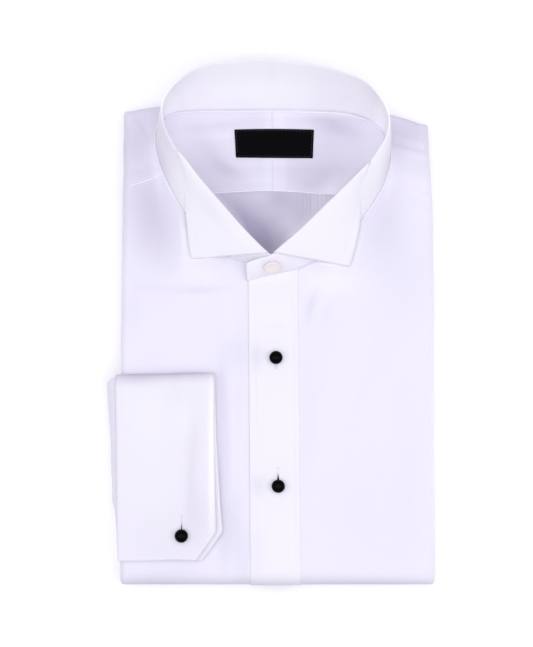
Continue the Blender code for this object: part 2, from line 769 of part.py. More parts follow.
def stud_profile(post_bottom, ball_bottom):
    """Back disc, post and ball; the ball sits flat on the cloth."""
    rows = [(0.0, post_bottom), (DISC_RADIUS, post_bottom), (DISC_RADIUS, post_bottom + DISC_THICK),
            (POST_RADIUS, post_bottom + DISC_THICK), (POST_RADIUS, ball_bottom)]
    for step in range(1, 8):
        angle = math.pi * (0.16 + 0.84 * step / 8.0)
        rows.append((BALL_RADIUS * math.sin(angle),
                     ball_bottom + BALL_FLAT * BALL_RADIUS * (math.cos(math.pi * 0.16) - math.cos(angle))))
    rows.append((0.0, ball_bottom + BALL_FLAT * BALL_RADIUS * (math.cos(math.pi * 0.16) + 1.0)))
    return rows


def make_stud(name, stud, material):
    cloth = body_top(stud["x"], stud["y"])
    disc = cloth - CLOTH + 0.1
    ball = cloth + GAP + PLACKET_THICK + GAP
    return make_lathe(name, stud_profile(disc, ball), Vector((stud["x"], stud["y"], 0.0)),
                      Vector((0.0, 0.0, 1.0)), material)


def make_button(name, material):
    """The collar button lies on the outer end of the band and leans with it."""
    last_rows = [0.85 + 0.15 * t for t in steps(120)]
    t = min(last_rows, key=lambda t: abs(band_middle(t).x - BUTTON["x"]))
    seam, top = collar_station(t)
    along = band_middle(t + 0.01) - band_middle(t)
    outward = (top - seam).cross(along).normalized()
    if outward.y > 0.0:
        outward.negate()
    r, h = BUTTON["radius"], BUTTON["thick"]
    profile = [(0.0, 0.0), (r * 0.86, 0.0), (r, h * 0.35), (r, h * 0.8), (r * 0.9, h), (r * 0.72, h),
               (r * 0.6, h * 0.72), (0.0, h * 0.72)]
    place = band_middle(t) + outward * (INTERLINED / 2.0 + BAND_BOW + GAP)
    return make_lathe(name, profile, place, outward, material)


def band_middle(t):
    seam, top = collar_station(t)
    return seam.lerp(top, BUTTON["up"])


# ---------------------------------------------------------------- right cuff and sleeve

def cuff_bottom(x, y):
    """Middle of the cuff's under layer: clear of the back of the link, closer to the front elsewhere."""
    from_link = math.hypot(x - LINK["x"], y - LINK["y"])
    low = INTERLINED / 2.0 + GAP
    return body_top(x, y) + mix(CUFF_LIFT, low, smooth_step(9.0, 34.0, from_link))


def cuff_rows():
    """Stations across the cuff, under layer end to fold to upper layer end, as (y, height, layer)."""
    fold, end = CUFF["fold"] - CUFF_FOLD_RADIUS, CUFF["end"]
    marks = [end, LINK["hole_low"], end + CUFF["mitre"], LINK["hole_high"], 70.0, 96.0, 122.0, fold]
    rows = [(y, 0.0, 0) for y in marks]
    for step in (1, 2, 3, 4, 5):
        angle = math.pi * step / 6.0
        rows.append((fold + CUFF_FOLD_RADIUS * math.sin(angle),
                     CUFF_FOLD_RADIUS * (1.0 - math.cos(angle)), 0.5))
    rows += [(y, 2.0 * CUFF_FOLD_RADIUS, 1) for y in reversed(marks)]
    return rows


def free_edge(y, layer):
    """X of the free edge of a layer, with its corner cut off at an angle."""
    cut = max(0.0, CUFF["mitre"] - (y - CUFF["end"])) * 0.72
    return CUFF["free"] + CUFF_UNDER_SHIFT * (1.0 - layer) - cut


def make_cuff(name, material):
    """The cuff, folded on itself half way round, its two ends one above the other."""
    rows, slots = [], []
    for y, height, layer in cuff_rows():
        left, right = CUFF["seam"], free_edge(y, layer)
        across = [left, mix(left, LINK["x"], 0.35), mix(left, LINK["x"], 0.7),
                  LINK["x"] - HOLE_HALF_WIDTH, LINK["x"] + HOLE_HALF_WIDTH,
                  mix(LINK["x"], right, 0.55), right]
        rows.append([Vector((x, y, cuff_bottom(x, min(y, 146.0)) + height)) for x in across])
    for r, (row, following) in enumerate(zip(rows, rows[1:])):
        middle = (row[0].y + following[0].y) / 2.0
        if LINK["hole_low"] < middle < LINK["hole_high"]:
            slots.append((r, 3))
    sheet = Sheet()
    sheet.patch(offset_sheet(rows, INTERLINED), slots)
    return sheet.wall(name, material)


def make_link(name, material):
    """Cuff link: a ball on the cuff, a post through both layers, a disc underneath."""
    cloth = body_top(LINK["x"], LINK["y"])
    disc = cloth + GAP
    ball = cloth + CUFF_LIFT + 2.0 * CUFF_FOLD_RADIUS + INTERLINED / 2.0 + GAP
    return make_lathe(name, stud_profile(disc, ball), Vector((LINK["x"], LINK["y"], 0.0)),
                      Vector((0.0, 0.0, 1.0)), material)


def make_sleeve(name, material):
    """The end of the sleeve: from the cuff seam round the side of the pack, and in under it."""
    start, half = CUFF["seam"] - GAP - SLEEVE_THICK / 2.0, SLEEVE_THICK / 2.0
    rows = []
    for step in steps(12):
        y = mix(SLEEVE_EDGE[0]["y"], SLEEVE_EDGE[-1]["y"], step)
        side = side_left(y)
        top = body_top(flat_side(-1, y), y) + SLEEVE_RISE
        bulge = min(side - read_table(SLEEVE_EDGE, "y", "out", y) + half, side - GAP - half - 0.2)
        under = side + SLEEVE_UNDER
        way = [Vector((start, y, top)), Vector((mix(start, bulge, 0.7), y, top - 1.2)),
               Vector((bulge, y, mix(top, TUCK_LEVEL, 0.3))), Vector((bulge + 0.2, y, 9.0)),
               Vector((mix(bulge, under, 0.5), y, 3.6)), Vector((under, y, half + GAP))]
        rows.append([spline(way, t) for t in steps(9)][::-1])
    sheet = Sheet()
    sheet.patch(offset_sheet(rows, SLEEVE_THICK))
    return sheet.wall(name, material)


# ---------------------------------------------------------------- hidden layers

CORE_DEPTH = CLOTH + 0.45
CORE_SLACK = 0.5            # more room above the core, which is too coarse to follow each soft fold
CORE_COLUMNS = 18
# rows of the core's top, from the hem to the shoulder fold, closer together round the neck
CORE_HEIGHTS = (0.0, 0.1, 0.2, 0.3, 0.4, 0.5, 0.58, 0.63, 0.66, 0.69, 0.72, 0.75, 0.785, 0.82, 0.86,
                0.9, 0.94, 0.97, 1.0)
# folded layers below the tuck, as (how far out of the flat top's border, height)
LOWER_LAYERS = (
    dict(out=-6.8, z=6.5), dict(out=0.4, z=6.5), dict(out=2.4, z=5.7), dict(out=2.8, z=4.6),
    dict(out=1.6, z=3.7), dict(out=0.2, z=3.3), dict(out=1.0, z=2.7), dict(out=1.4, z=1.5),
    dict(out=0.3, z=0.4), dict(out=-1.6, z=0.0),
)


def neck_distance(x, y):
    """How far a point is outside the neck seam, taken as an egg shape; negative inside."""
    half_height = 60.5
    across, along = abs(x - NECK_CENTRE[0]) / NECK_HALF_WIDTH, (y - NECK_CENTRE[1]) / half_height
    if along > 0.0:
        reach = (across ** CORNER_POWER + along ** CORNER_POWER) ** (1.0 / CORNER_POWER)
    else:
        reach = math.hypot(across * (1.0 + NECK_POINTED * along * along), along)
    return (1.0 - 1.0 / max(reach, 0.2)) * math.hypot(x - NECK_CENTRE[0], y - NECK_CENTRE[1])


def core_top(x, y):
    inside = neck_floor(x, y) - CLOTH - 0.45
    outside = body_top(x, y) - CORE_DEPTH - CORE_SLACK * (1.0 - smooth_step(300.0, 336.0, y))
    return mix(inside, outside, smooth_step(MASK_INNER, MASK_OUTER, neck_distance(x, y)))


def core_profile(station):
    top = core_top(station.x, station.y)
    points = [station.point(turn, CORE_DEPTH) for turn in TURNS[:-1]]
    for point in points:
        point.z = min(point.z, top)
    points.append(station.point(2.0 + 0.8 / TUCK_DEPTH, CORE_DEPTH))
    for layer in LOWER_LAYERS:
        over, back = max(layer["out"], 0.0), min(layer["out"], 0.0)
        points.append(station.at(over, over, back, layer["z"]))
    return points


def make_core(name, material):
    """Back, tails and the other sleeve, folded together: one body with the layers marked at its edges."""
    x_left, x_right = corner_x(-1), corner_x(1)
    grid = []
    for v in CORE_HEIGHTS:
        row = []
        for u in steps(CORE_COLUMNS):
            y = mix(FLAT_HEM, flat_shoulder(mix(x_left, x_right, u)), v)
            left = flat_side(-1, mix(FLAT_HEM, flat_shoulder(x_left), v))
            right = flat_side(1, mix(FLAT_HEM, flat_shoulder(x_right), v))
            x = mix(left, right, u)
            row.append(Vector((x, y, core_top(x, y))))
        grid.append(row)
    points, faces, index = [], [], {}

    def vertex(p):
        key = tuple(round(value, 3) for value in p)
        if key not in index:
            index[key] = len(points)
            points.append(p)
        return index[key]

    def quad(corners):
        ids = [vertex(p) for p in corners]
        ring = [v for i, v in enumerate(ids) if v != ids[i - 1]]
        if len(set(ring)) > 2:
            faces.append(ring)

    for r in range(len(CORE_HEIGHTS) - 1):
        for c in range(CORE_COLUMNS):
            quad([grid[r][c], grid[r][c + 1], grid[r + 1][c + 1], grid[r + 1][c]])
    border = [Station(p.x, p.y, 0.0, -1.0, ROUND_HEM) for p in grid[0][:-1]]
    border[:1] = corner_stations(-1, -1, first="side")
    border += corner_stations(1, -1, first="end")
    border += [Station(row[-1].x, row[-1].y, 1.0, 0.0, ROUND_HEM) for row in grid[1:-1]]
    border += corner_stations(1, 1, first="side")
    border += [Station(p.x, p.y, 0.0, 1.0, ROUND_SHOULDER) for p in grid[-1][1:-1][::-1]]
    border += corner_stations(-1, 1, first="end")
    border += [Station(row[0].x, row[0].y, -1.0, 0.0, ROUND_HEM) for row in grid[1:-1][::-1]]
    columns = [core_profile(station) for station in border]
    for a, b in zip(columns, columns[1:] + columns[:1]):
        for k in range(len(a) - 1):
            quad([a[k + 1], b[k + 1], b[k], a[k]])
    under = [vertex(column[-1]) for column in columns][::-1]
    faces.append([v for i, v in enumerate(under) if v != under[i - 1]])
    return make_object(name, points, faces, material)


# ---------------------------------------------------------------- the shirt

def build_shirt():
    clear_scene()
    finish = make_materials()
    cloth, stiff = finish["poplin"], finish["interlined"]
    pieces = [
        make_core("folded_core", cloth),
        make_front("front_right", -1, cloth),
        make_front("front_left", 1, cloth),
        make_shoulder("yoke_shoulder_right", -1, cloth),
        make_shoulder("yoke_shoulder_left", 1, cloth),
        make_yoke_inside("yoke_inside_right", -1, cloth),
        make_yoke_inside("yoke_inside_left", 1, cloth),
        make_back("back_panel", cloth),
        make_placket("placket", stiff),
        make_band("collar_band", stiff),
        make_wing("collar_wing_right", -1, stiff),
        make_wing("collar_wing_left", 1, stiff),
        make_cuff("cuff_right", stiff),
        make_sleeve("sleeve_right", cloth),
        make_button("collar_button", finish["ivory"]),
        make_stud("stud_upper", STUD_UPPER, finish["onyx"]),
        make_stud("stud_lower", STUD_LOWER, finish["onyx"]),
        make_link("cuff_link", finish["onyx"]),
        make_label("neck_label", finish["label"]),
    ]
    settle(pieces)


def settle(pieces):
    """Millimetres to metres, with the origin in the middle of the footprint."""
    corners = [vertex.co for piece in pieces for vertex in piece.data.vertices]
    middle_x = (min(c.x for c in corners) + max(c.x for c in corners)) / 2.0
    middle_y = (min(c.y for c in corners) + max(c.y for c in corners)) / 2.0
    for piece in pieces:
        for vertex in piece.data.vertices:
            co = vertex.co
            vertex.co = Vector((co.x - middle_x, co.y - middle_y, co.z)) * METRES_PER_MM


build_shirt()
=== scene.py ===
import math
from functools import partial

import bpy
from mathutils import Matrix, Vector, noise


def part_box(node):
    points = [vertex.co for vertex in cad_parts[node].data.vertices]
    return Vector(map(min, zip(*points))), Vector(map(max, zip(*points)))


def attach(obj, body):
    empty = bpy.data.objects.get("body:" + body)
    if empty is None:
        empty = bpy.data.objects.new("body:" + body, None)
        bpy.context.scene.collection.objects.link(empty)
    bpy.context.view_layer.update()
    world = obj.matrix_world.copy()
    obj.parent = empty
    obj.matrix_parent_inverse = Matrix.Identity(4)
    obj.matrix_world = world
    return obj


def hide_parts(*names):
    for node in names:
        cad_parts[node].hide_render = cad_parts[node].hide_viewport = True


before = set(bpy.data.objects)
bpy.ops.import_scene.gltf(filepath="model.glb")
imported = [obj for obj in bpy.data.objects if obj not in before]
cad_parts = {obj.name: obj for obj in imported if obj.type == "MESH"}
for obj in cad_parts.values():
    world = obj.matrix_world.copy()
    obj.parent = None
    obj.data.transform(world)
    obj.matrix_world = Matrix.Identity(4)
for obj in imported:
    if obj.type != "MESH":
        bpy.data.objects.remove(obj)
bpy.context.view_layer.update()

# A long sleeve formal shirt with a wing collar, folded flat. Everything is worked out in millimetres
# in the shirt's own frame: x = 0 is the middle of the placket, y = 0 the fold at the hem, +y towards
# the collar and z = 0 the surface that it lies on. place() turns that into the frame of the part.

studLow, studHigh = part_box("stud_upper")
studSpot = Vector((2.8, 162.8, 0.0))
metresPerMm = 0.001
uvPerMm = 0.01
frameShift = (studLow + studHigh) / 2.0 - studSpot * metresPerMm
frameShift.z = 0.0


def place(point):
    return point * metresPerMm + frameShift


# small helpers

def mix(a, b, t):
    return a + (b - a) * t


def smoothStep(low, high, value):
    t = min(1.0, max(0.0, (value - low) / (high - low)))
    return t * t * (3.0 - 2.0 * t)


def steps(count):
    return [i / count for i in range(count + 1)]


def spread(low, high, pitch):
    return [mix(low, high, t) for t in steps(max(1, math.ceil(abs(high - low) / pitch)))]


def bell(value, width):
    return math.exp(-(value / width) ** 2)


def table(columns, *rows):
    # rows of values as dictionaries, where a short row goes without the last columns
    return [dict(zip(columns.split(), row)) for row in rows]


def splineAt(values, t):
    # Catmull-Rom through evenly spaced numbers or vectors, t from 0 to 1
    last = len(values) - 1
    where = min(max(t, 0.0), 1.0) * last
    i = min(int(where), last - 1)
    f = where - i
    b, c = values[i], values[i + 1]
    a = values[i - 1] if i > 0 else b * 2 - c
    d = values[i + 2] if i + 2 <= last else c * 2 - b
    return (b * 2 + (c - a) * f + (a * 2 - b * 5 + c * 4 - d) * f * f
            + (b * 3 - a - c * 3 + d) * f * f * f) * 0.5


def readTable(rows, at, key="x", value="y"):
    # a smooth reading of one column of a table against another, which rises
    if at <= rows[0][key]:
        return rows[0][value]
    if at >= rows[-1][key]:
        return rows[-1][value]
    i = max(k for k, row in enumerate(rows) if row[key] <= at)

    def slope(k):
        low, high = rows[max(k - 1, 0)], rows[min(k + 1, len(rows) - 1)]
        return (high[value] - low[value]) / (high[key] - low[key])

    span = rows[i + 1][key] - rows[i][key]
    f = (at - rows[i][key]) / span
    near, far = rows[i][value], rows[i + 1][value]
    return (near * (1 + 2 * f) * (1 - f) ** 2 + slope(i) * span * f * (1 - f) ** 2
            + far * f * f * (3 - 2 * f) + slope(i + 1) * span * f * f * (f - 1))


def unrest(x, y, size, seed=0.0):
    # smooth unevenness from -1 to 1, size is the distance between bumps
    return noise.noise(Vector((x / size, y / size, seed)))


# the folded pack

pack = {
    "left": -108.8, "right": 116.8, "taperLeft": 1.0, "taperRight": 3.4,
    "top": 22.0, "tuckLevel": 7.0, "tuckDepth": 6.0,
    "roundSide": 4.6, "roundHem": 10.0, "roundShoulder": 5.0,
    "shoulderDrop": 6.5, "napeDrop": 1.2, "cornerPower": 4.0,
    "wobble": 0.45,          # how far the folded sides wander from straight
    "grid": 1.9,             # distance between points on the fronts
    "thin": 0.135,           # base level of painted shade on the outer layer, 0 to 1; with the cloth colours it sets the plain tone
}
neck = {
    "halfWidth": 84.0, "halfHeight": 60.5, "centre": (1.0, 283.5), "pointed": 0.8,
    "floor": 11.8, "napeLevel": 14.4, "meetsFrom": 8.0, "meetsTo": 21.0,
}
neckMiddle = Vector((0.0, 290.0, 0.0))
shoulderRows = table("x y",
    (-108.8, 341.0), (-84.0, 345.2), (-50.0, 347.6), (0.0, 348.0), (52.0, 346.6), (86.0, 339.6),
    (116.8, 330.0))
yokeSeamRight = table("x y",
    (-108.8, 284.8), (-92.0, 290.0), (-76.0, 296.5))
yokeSeamLeft = table("x y",
    (78.0, 293.5), (96.0, 287.5), (116.8, 278.5))

# soft folds, each a ridge (height over 0) or a trough from one end to the other
bodyFolds = table("x0 y0 x1 y1 width height bend steep",
    (-82, 276, -86, 226, 9, -1.8, 3, 1.7), (-104, 216, -48, 209, 7, -1.0, 0, 1.5),
    (-74, 214, -40, 212, 2.6, -0.7, 0, 1.6), (-70, 228, -48, 222, 8, 1.3), (-34, 232, -24, 212, 6, -1.6),
    (-106, 326, -84, 300, 9, -1.6), (-99, 334, -84, 306, 3.2, 0.7), (-106, 318, -90, 298, 3.8, 0.8, 2),
    (-106, 292, -80, 297, 3.4, 0.9), (-110, 270, -90, 264, 5, 0.9), (66, 262, 58, 196, 9, -1.2, -3),
    (84, 272, 92, 150, 15, 1.5), (28, 214, 22, 184, 2.6, -0.8), (35, 216, 27, 182, 3.2, 0.8),
    (26, 92, 56, 204, 8, 1.4, -3), (40, 80, 74, 176, 9, -1.2, 4), (54, 96, 90, 190, 7, 0.8, 2),
    (80, 236, 52, 214, 5, 0.7), (60, 234, 40, 216, 4, -0.6), (-98, 246, -76, 236, 5, 0.6),
    (-104, 232, -70, 224, 5, -0.6), (88, 326, 113, 316, 2.2, 0.8), (96, 308, 115, 303, 2.2, -0.6),
    (-100, 340, -88, 322, 2.4, -0.7), (-92, 310, -86, 294, 2.4, -0.7), (72, 66, 46, 8, 13, 1.1),
    (98, 120, 106, 14, 9, -0.8), (86, 319, 115, 311, 2.6, -1.2, 0, 0.5), (92, 297, 112, 290, 5, 1.2),
    (92, 332, 112, 322, 3.4, 0.8), (98, 274, 114, 264, 4, 1.1), (101, 260, 116, 266, 2.2, -0.8),
    (104, 252, 116, 256, 2.0, 0.5), (-26, 200, -27, 112, 4.2, -0.9), (-29, 62, -27, 4, 3.4, -0.8),
    (-36, 72, -35, 2, 3.6, 0.8), (-108, 180, -44, 168, 10, 0.9), (-96, 162, -30, 186, 9, -0.8))


def sideLeft(y):
    wander = pack["wobble"] * (unrest(0.0, y, 46.0, 3.1) + 0.5 * unrest(0.0, y, 17.0, 7.7))
    return pack["left"] + pack["taperLeft"] * smoothStep(180.0, 340.0, y) + wander


def sideRight(y):
    wander = pack["wobble"] * (unrest(0.0, y, 52.0, 5.3) + 0.5 * unrest(0.0, y, 15.0, 9.1))
    return pack["right"] - pack["taperRight"] * smoothStep(250.0, 335.0, y) + wander


def foldHeight(fold, x, y):
    alongX, alongY = fold["x1"] - fold["x0"], fold["y1"] - fold["y0"]
    length = math.hypot(alongX, alongY)
    run = ((x - fold["x0"]) * alongX + (y - fold["y0"]) * alongY) / length / length
    across = ((x - fold["x0"]) * alongY - (y - fold["y0"]) * alongX) / length
    across += fold.get("bend", 0.0) * 4.0 * (run - 0.5) ** 2
    width = fold["width"] * (fold.get("steep", 1.0) if across > 0.0 else 1.0)
    if abs(across) > 3.0 * width or run < -0.3 or run > 1.3:
        return 0.0
    ends = smoothStep(-0.25, 0.25, run) * smoothStep(-0.25, 0.25, 1.0 - run)
    return fold["height"] * bell(across, width) * ends


def bodyTop(x, y):
    toShoulder = smoothStep(284.0, 341.0, y)
    inward = 1.0 - min(1.0, (x / neck["halfWidth"]) ** 2)
    rise = 3.5 * smoothStep(94.0, 59.0, abs(x)) * bell(y - 238.0, 37.0)
    folds = sum(foldHeight(fold, x, y) for fold in bodyFolds)
    folds += 0.5 * unrest(x, y, 34.0, 1.7) + 0.16 * unrest(x, y, 13.0, 2.9)
    return pack["top"] + rise - toShoulder * (pack["shoulderDrop"] + pack["napeDrop"] * inward) + folds


def squareReach(across, along):
    # distance from the middle of a square with rounded corners, 1 on its border
    power = pack["cornerPower"]
    return (across ** power + along ** power) ** (1.0 / power)


def neckDistance(x, y):
    # how far a point is outside the neck seam, negative inside
    across = abs(x - neck["centre"][0]) / neck["halfWidth"]
    along = (y - neck["centre"][1]) / neck["halfHeight"]
    if along > 0.0:
        reach = squareReach(across, along)
    else:
        reach = math.hypot(across * (1.0 + neck["pointed"] * along * along), along)
    fromCentre = math.hypot(x - neck["centre"][0], y - neck["centre"][1])
    return (1.0 - 1.0 / max(reach, 0.2)) * max(fromCentre, 12.0)


def neckFloor(x, y):
    # the inside of back and yoke: low in the neck, closing up under the fronts round it
    toNape = smoothStep(288.0, 341.0, y)
    sides = 6.0 * (x / neck["halfWidth"]) ** 2 * (1.0 - toNape)
    inside = mix(neck["floor"], neck["napeLevel"], toNape) + sides
    closed = smoothStep(neck["meetsFrom"], neck["meetsTo"], neckDistance(x, y))
    return mix(inside, bodyTop(x, y) - 1.5, closed)


def flatSide(side, y):
    return sideLeft(y) + pack["roundSide"] if side < 0 else sideRight(y) - pack["roundSide"]


def flatShoulder(x):
    return readTable(shoulderRows, x) - pack["roundShoulder"]


def cornerX(side):
    x = flatSide(side, 340.0)
    for _ in range(4):
        x = flatSide(side, flatShoulder(x))
    return x


def yokeSeam(side, x):
    return readTable(yokeSeamRight if side < 0 else yokeSeamLeft, x)


class Station:
    # a place on the border of the pack's flat top, with the way that the cloth goes over the edge
    def __init__(self, x, y, outX, outY, roundY, back=None):
        self.x, self.y, self.outX, self.outY, self.roundY = x, y, outX, outY, roundY
        self.backX, self.backY = back or (outX, outY)

    def at(self, reachX, reachY, run, z):
        return Vector((self.x + self.outX * reachX + self.backX * run,
                       self.y + self.outY * reachY + self.backY * run, z))

    def point(self, turn, lift=0.0):
        # turn 0 to 1 is the half round, 1 to 2 the stretch tucked in under the pack
        half = (bodyTop(self.x, self.y) - pack["tuckLevel"]) / 2.0 + lift
        if turn <= 1.0:
            reach, run = math.sin(math.pi * turn), 0.0
            z = pack["tuckLevel"] - lift + half * (1.0 + math.cos(math.pi * turn))
        else:
            reach, run, z = 0.0, -pack["tuckDepth"] * (turn - 1.0), pack["tuckLevel"] - lift
        wave = 0.9 * unrest(self.x + 1.4 * self.y, z * 2.0, 26.0, 4.9)
        wave += 0.4 * unrest(self.x - self.y, z, 9.0, 1.3)
        z += wave * math.sin(math.pi * min(turn, 1.0)) ** 2
        return self.at(reach * (pack["roundSide"] + lift), reach * (self.roundY + lift), run, z)


def hemStation(x):
    return Station(x, pack["roundHem"], 0.0, -1.0, pack["roundHem"])


def sideStation(side, x, y):
    return Station(x, y, side, 0.0, pack["roundHem"])


def shoulderStation(x):
    return Station(x, flatShoulder(x), 0.0, 1.0, pack["roundShoulder"])


def cornerFan(xSide, ySide):
    # from the side of the pack to its hem (ySide -1) or shoulder
    if ySide < 0:
        x, y, roundY = flatSide(xSide, pack["roundHem"]), pack["roundHem"], pack["roundHem"]
    else:
        x = cornerX(xSide)
        y, roundY = flatShoulder(x), pack["roundShoulder"]
    fan = []
    for t in steps(10):
        across, along = math.cos(t * math.pi / 2.0), math.sin(t * math.pi / 2.0)
        size = squareReach(across, along)
        fan.append(Station(x, y, across / size * xSide, along / size * ySide, roundY, back=(xSide, ySide)))
    return fan


turns = steps(16) + [1.25, 1.5, 1.75, 2.0]
sideWord = {-1: "Right", 1: "Left"}      # the wearer's side


# sheets

cottonWall = 0.5
rimRound = 0.42              # how far a rim stands out, as a share of the wall
paintedRimHighlight = 0.1               # painted highlight: the rims are painted this much lighter


class Cloth:
    # a sheet put together from patches of points that share their borders
    def __init__(self, rows, holes=(), flat=None):
        self.points, self.flat, self.faces, self.index = [], [], [], {}
        self.patch(rows, holes, flat)

    def vertex(self, point, flat):
        key = tuple(round(value, 3) for value in point)
        if key not in self.index:
            self.index[key] = len(self.points)
            self.points.append(point)
            self.flat.append(flat)
        return self.index[key]

    def patch(self, rows, holes=(), flat=None):
        # the flat place of a point, in millimetres along the weave, is its x and y unless given
        ids = []
        for r, row in enumerate(rows):
            ids.append([self.vertex(p, flat[r][c] if flat else (p.x, p.y)) for c, p in enumerate(row)])
        for r in range(len(ids) - 1):
            for c in range(len(ids[0]) - 1):
                if (r, c) in holes:
                    continue
                corners = [ids[r][c], ids[r][c + 1], ids[r + 1][c + 1], ids[r + 1][c]]
                ring = [v for i, v in enumerate(corners) if v != corners[i - 1]]
                if len(set(ring)) > 2:
                    self.faces.append(ring)

    def piece(self, name, slotName, nodes=(), wall=cottonWall, side=0.0, thin=0.0, spots=()):
        # closes the sheet into a wall with a round rim; side -1 keeps the points as the outer face,
        # 0 as the middle of the wall
        points, faces = self.points, self.faces
        normals = [Vector() for _ in points]
        edges, outward = {}, {}
        for face in faces:
            normal = (points[face[2]] - points[face[0]]).cross(points[face[-1]] - points[face[1]])
            for i, v in enumerate(face):
                normals[v] += normal
                edges[(face[i - 1], v)] = normal
        rim = [edge for edge in edges if (edge[1], edge[0]) not in edges]
        for a, b in rim:
            away = (points[b] - points[a]).cross(edges[(a, b)]).normalized()
            for v in (a, b):
                outward[v] = outward.get(v, Vector()) + away
        for normal in normals:
            normal.normalize()
        outer = [p + normal * wall * (1.0 + side) / 2.0 for p, normal in zip(points, normals)]
        inner = [p - normal * wall * (1.0 - side) / 2.0 for p, normal in zip(points, normals)]
        rounded = [(outer[v] + inner[v]) / 2.0 + away.normalized() * (outer[v] - inner[v]).length * rimRound
                   for v, away in outward.items()]
        count = len(points)
        middle = {v: 2 * count + i for i, v in enumerate(outward)}
        walls = [list(face) for face in faces] + [[v + count for v in reversed(face)] for face in faces]
        walls += [[b, a, middle[a], middle[b]] for a, b in rim]
        walls += [[middle[b], middle[a], a + count, b + count] for a, b in rim]
        flat = self.flat + self.flat + [self.flat[v] for v in outward]
        # painted shade for each point: the piece's base level plus its ovals, with a painted highlight on
        # the rims
        paintedShades = [thin + paintedShadeAt(spots, p) for p in outer + inner]
        paintedShades += [thin + paintedShadeAt(spots, p) - paintedRimHighlight for p in rounded]
        return dress(makeMesh(name, outer + inner + rounded, walls, flat, paintedShades), slotName, nodes)


def paintedShadeAt(spots, point):
    # painted shade at a place: each spot is an oval that fades outwards, and a spot under 0 paints light
    total = 0.0
    for spot in spots:
        turn = math.radians(spot.get("turn", 0.0))
        x, y = point.x - spot["x"], point.y - spot["y"]
        across = (x * math.cos(turn) + y * math.sin(turn)) / spot["wide"]
        along = (y * math.cos(turn) - x * math.sin(turn)) / spot["tall"]
        total += spot["thin"] * math.exp(-(across * across + along * along) ** spot.get("edge", 1.0))
    return total


def makeMesh(name, points, faces, flat=None, thin=None):
    mesh = bpy.data.meshes.new(name)
    mesh.from_pydata([place(p) for p in points], [], faces)
    mesh.validate()
    mesh.update()
    if flat:
        layer = mesh.uv_layers.new(name="flat")
        spots = [0.0] * (2 * len(mesh.loops))
        for i, loop in enumerate(mesh.loops):
            spots[2 * i], spots[2 * i + 1] = (value * uvPerMm for value in flat[loop.vertex_index])
        layer.data.foreach_set("uv", spots)
    # the painted shade goes on the mesh as a point attribute
    if thin:
        layer = mesh.attributes.new("thin", "FLOAT", "POINT")
        layer.data.foreach_set("value", thin)
    mesh.shade_smooth()
    made = bpy.data.objects.new(name, mesh)
    bpy.context.scene.collection.objects.link(made)
    return made


def dress(made, slotName, nodes=(), finish=None):
    made.data.materials.append(finish or finishes[slotName])
    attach(made, "root")
    if nodes:
        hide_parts(*nodes)
    return made


# materials

class Finish:
    # one material, with short ways to add the nodes that are used here
    def __init__(self, name):
        self.material = bpy.data.materials.new(name)
        self.material.use_nodes = True
        self.tree = self.material.node_tree
        self.shader = self.tree.nodes["Principled BSDF"]

    def node(self, kind, settings=None, sockets=None, out=0):
        made = self.tree.nodes.new("ShaderNode" + kind)
        for key, value in (settings or {}).items():
            setattr(made, key, value)
        for key, value in (sockets or {}).items():
            self.join(made.inputs[key], value)
        return Signal(self, made.outputs[out])

    def join(self, socket, value):
        if isinstance(value, Signal):
            self.tree.links.new(value.socket, socket)
        else:
            socket.default_value = value

    def blend(self, share, low, high):
        return self.node("Mix", {"data_type": "RGBA"}, {0: share, 6: low, 7: high}, 2)

    def cloud(self, where, scale, detail, **sockets):
        sockets.update(Vector=where, Scale=scale, Detail=detail)
        return self.node("TexNoise", {}, sockets)

    def bump(self, strength, distance, height, **sockets):
        sockets.update(Strength=strength, Distance=distance, Height=height)
        return self.node("Bump", {}, sockets)

    def onObject(self):
        return self.node("TexCoord", {}, {}, 3)

    def onCloth(self):
        # the place on the flat cloth, and its two directions
        flat = self.node("UVMap", {"uv_map": "flat"})
        return flat, self.node("SeparateXYZ", {}, {0: flat}, 0), self.node("SeparateXYZ", {}, {0: flat}, 1)

    def surface(self, **values):
        # keywords are the shader's own sockets, with their spaces left out
        names = {name.replace(" ", ""): name for name in self.shader.inputs.keys()}
        for key, value in values.items():
            self.join(self.shader.inputs[names[key]], value)
        return self.material


class Signal:
    # a node's output that takes part in sums as a number does
    def __init__(self, finish, socket):
        self.finish, self.socket = finish, socket

    def maths(self, operation, *terms):
        return self.finish.node("Math", {"operation": operation}, dict(enumerate(terms)))

    def __add__(self, other):
        return self.maths("ADD", self, other)

    def __mul__(self, other):
        return self.maths("MULTIPLY", self, other)

    __radd__, __rmul__ = __add__, __mul__

    def sine(self):
        return self.maths("SINE", self)

    def size(self):
        return self.maths("ABSOLUTE", self)


cotton = {
    "color": (0.925, 0.905, 0.998, 1.0), "shade": (0.909, 0.887, 0.984, 1.0),
    "paintedShadeColor": (0.50, 0.462, 0.60, 1.0),       # the darker colour that painted shade blends the cloth towards
    "thread": 0.42,            # millimetres from thread to thread
    "weaveDepth": 0.00003, "creaseDepth": 0.00022, "roughness": 0.82, "sheen": 0.12,
}
stiffCotton = dict(cotton, color=(0.965, 0.950, 1.0, 1.0), shade=(0.953, 0.935, 0.994, 1.0),
                   creaseDepth=0.00010, roughness=0.74)


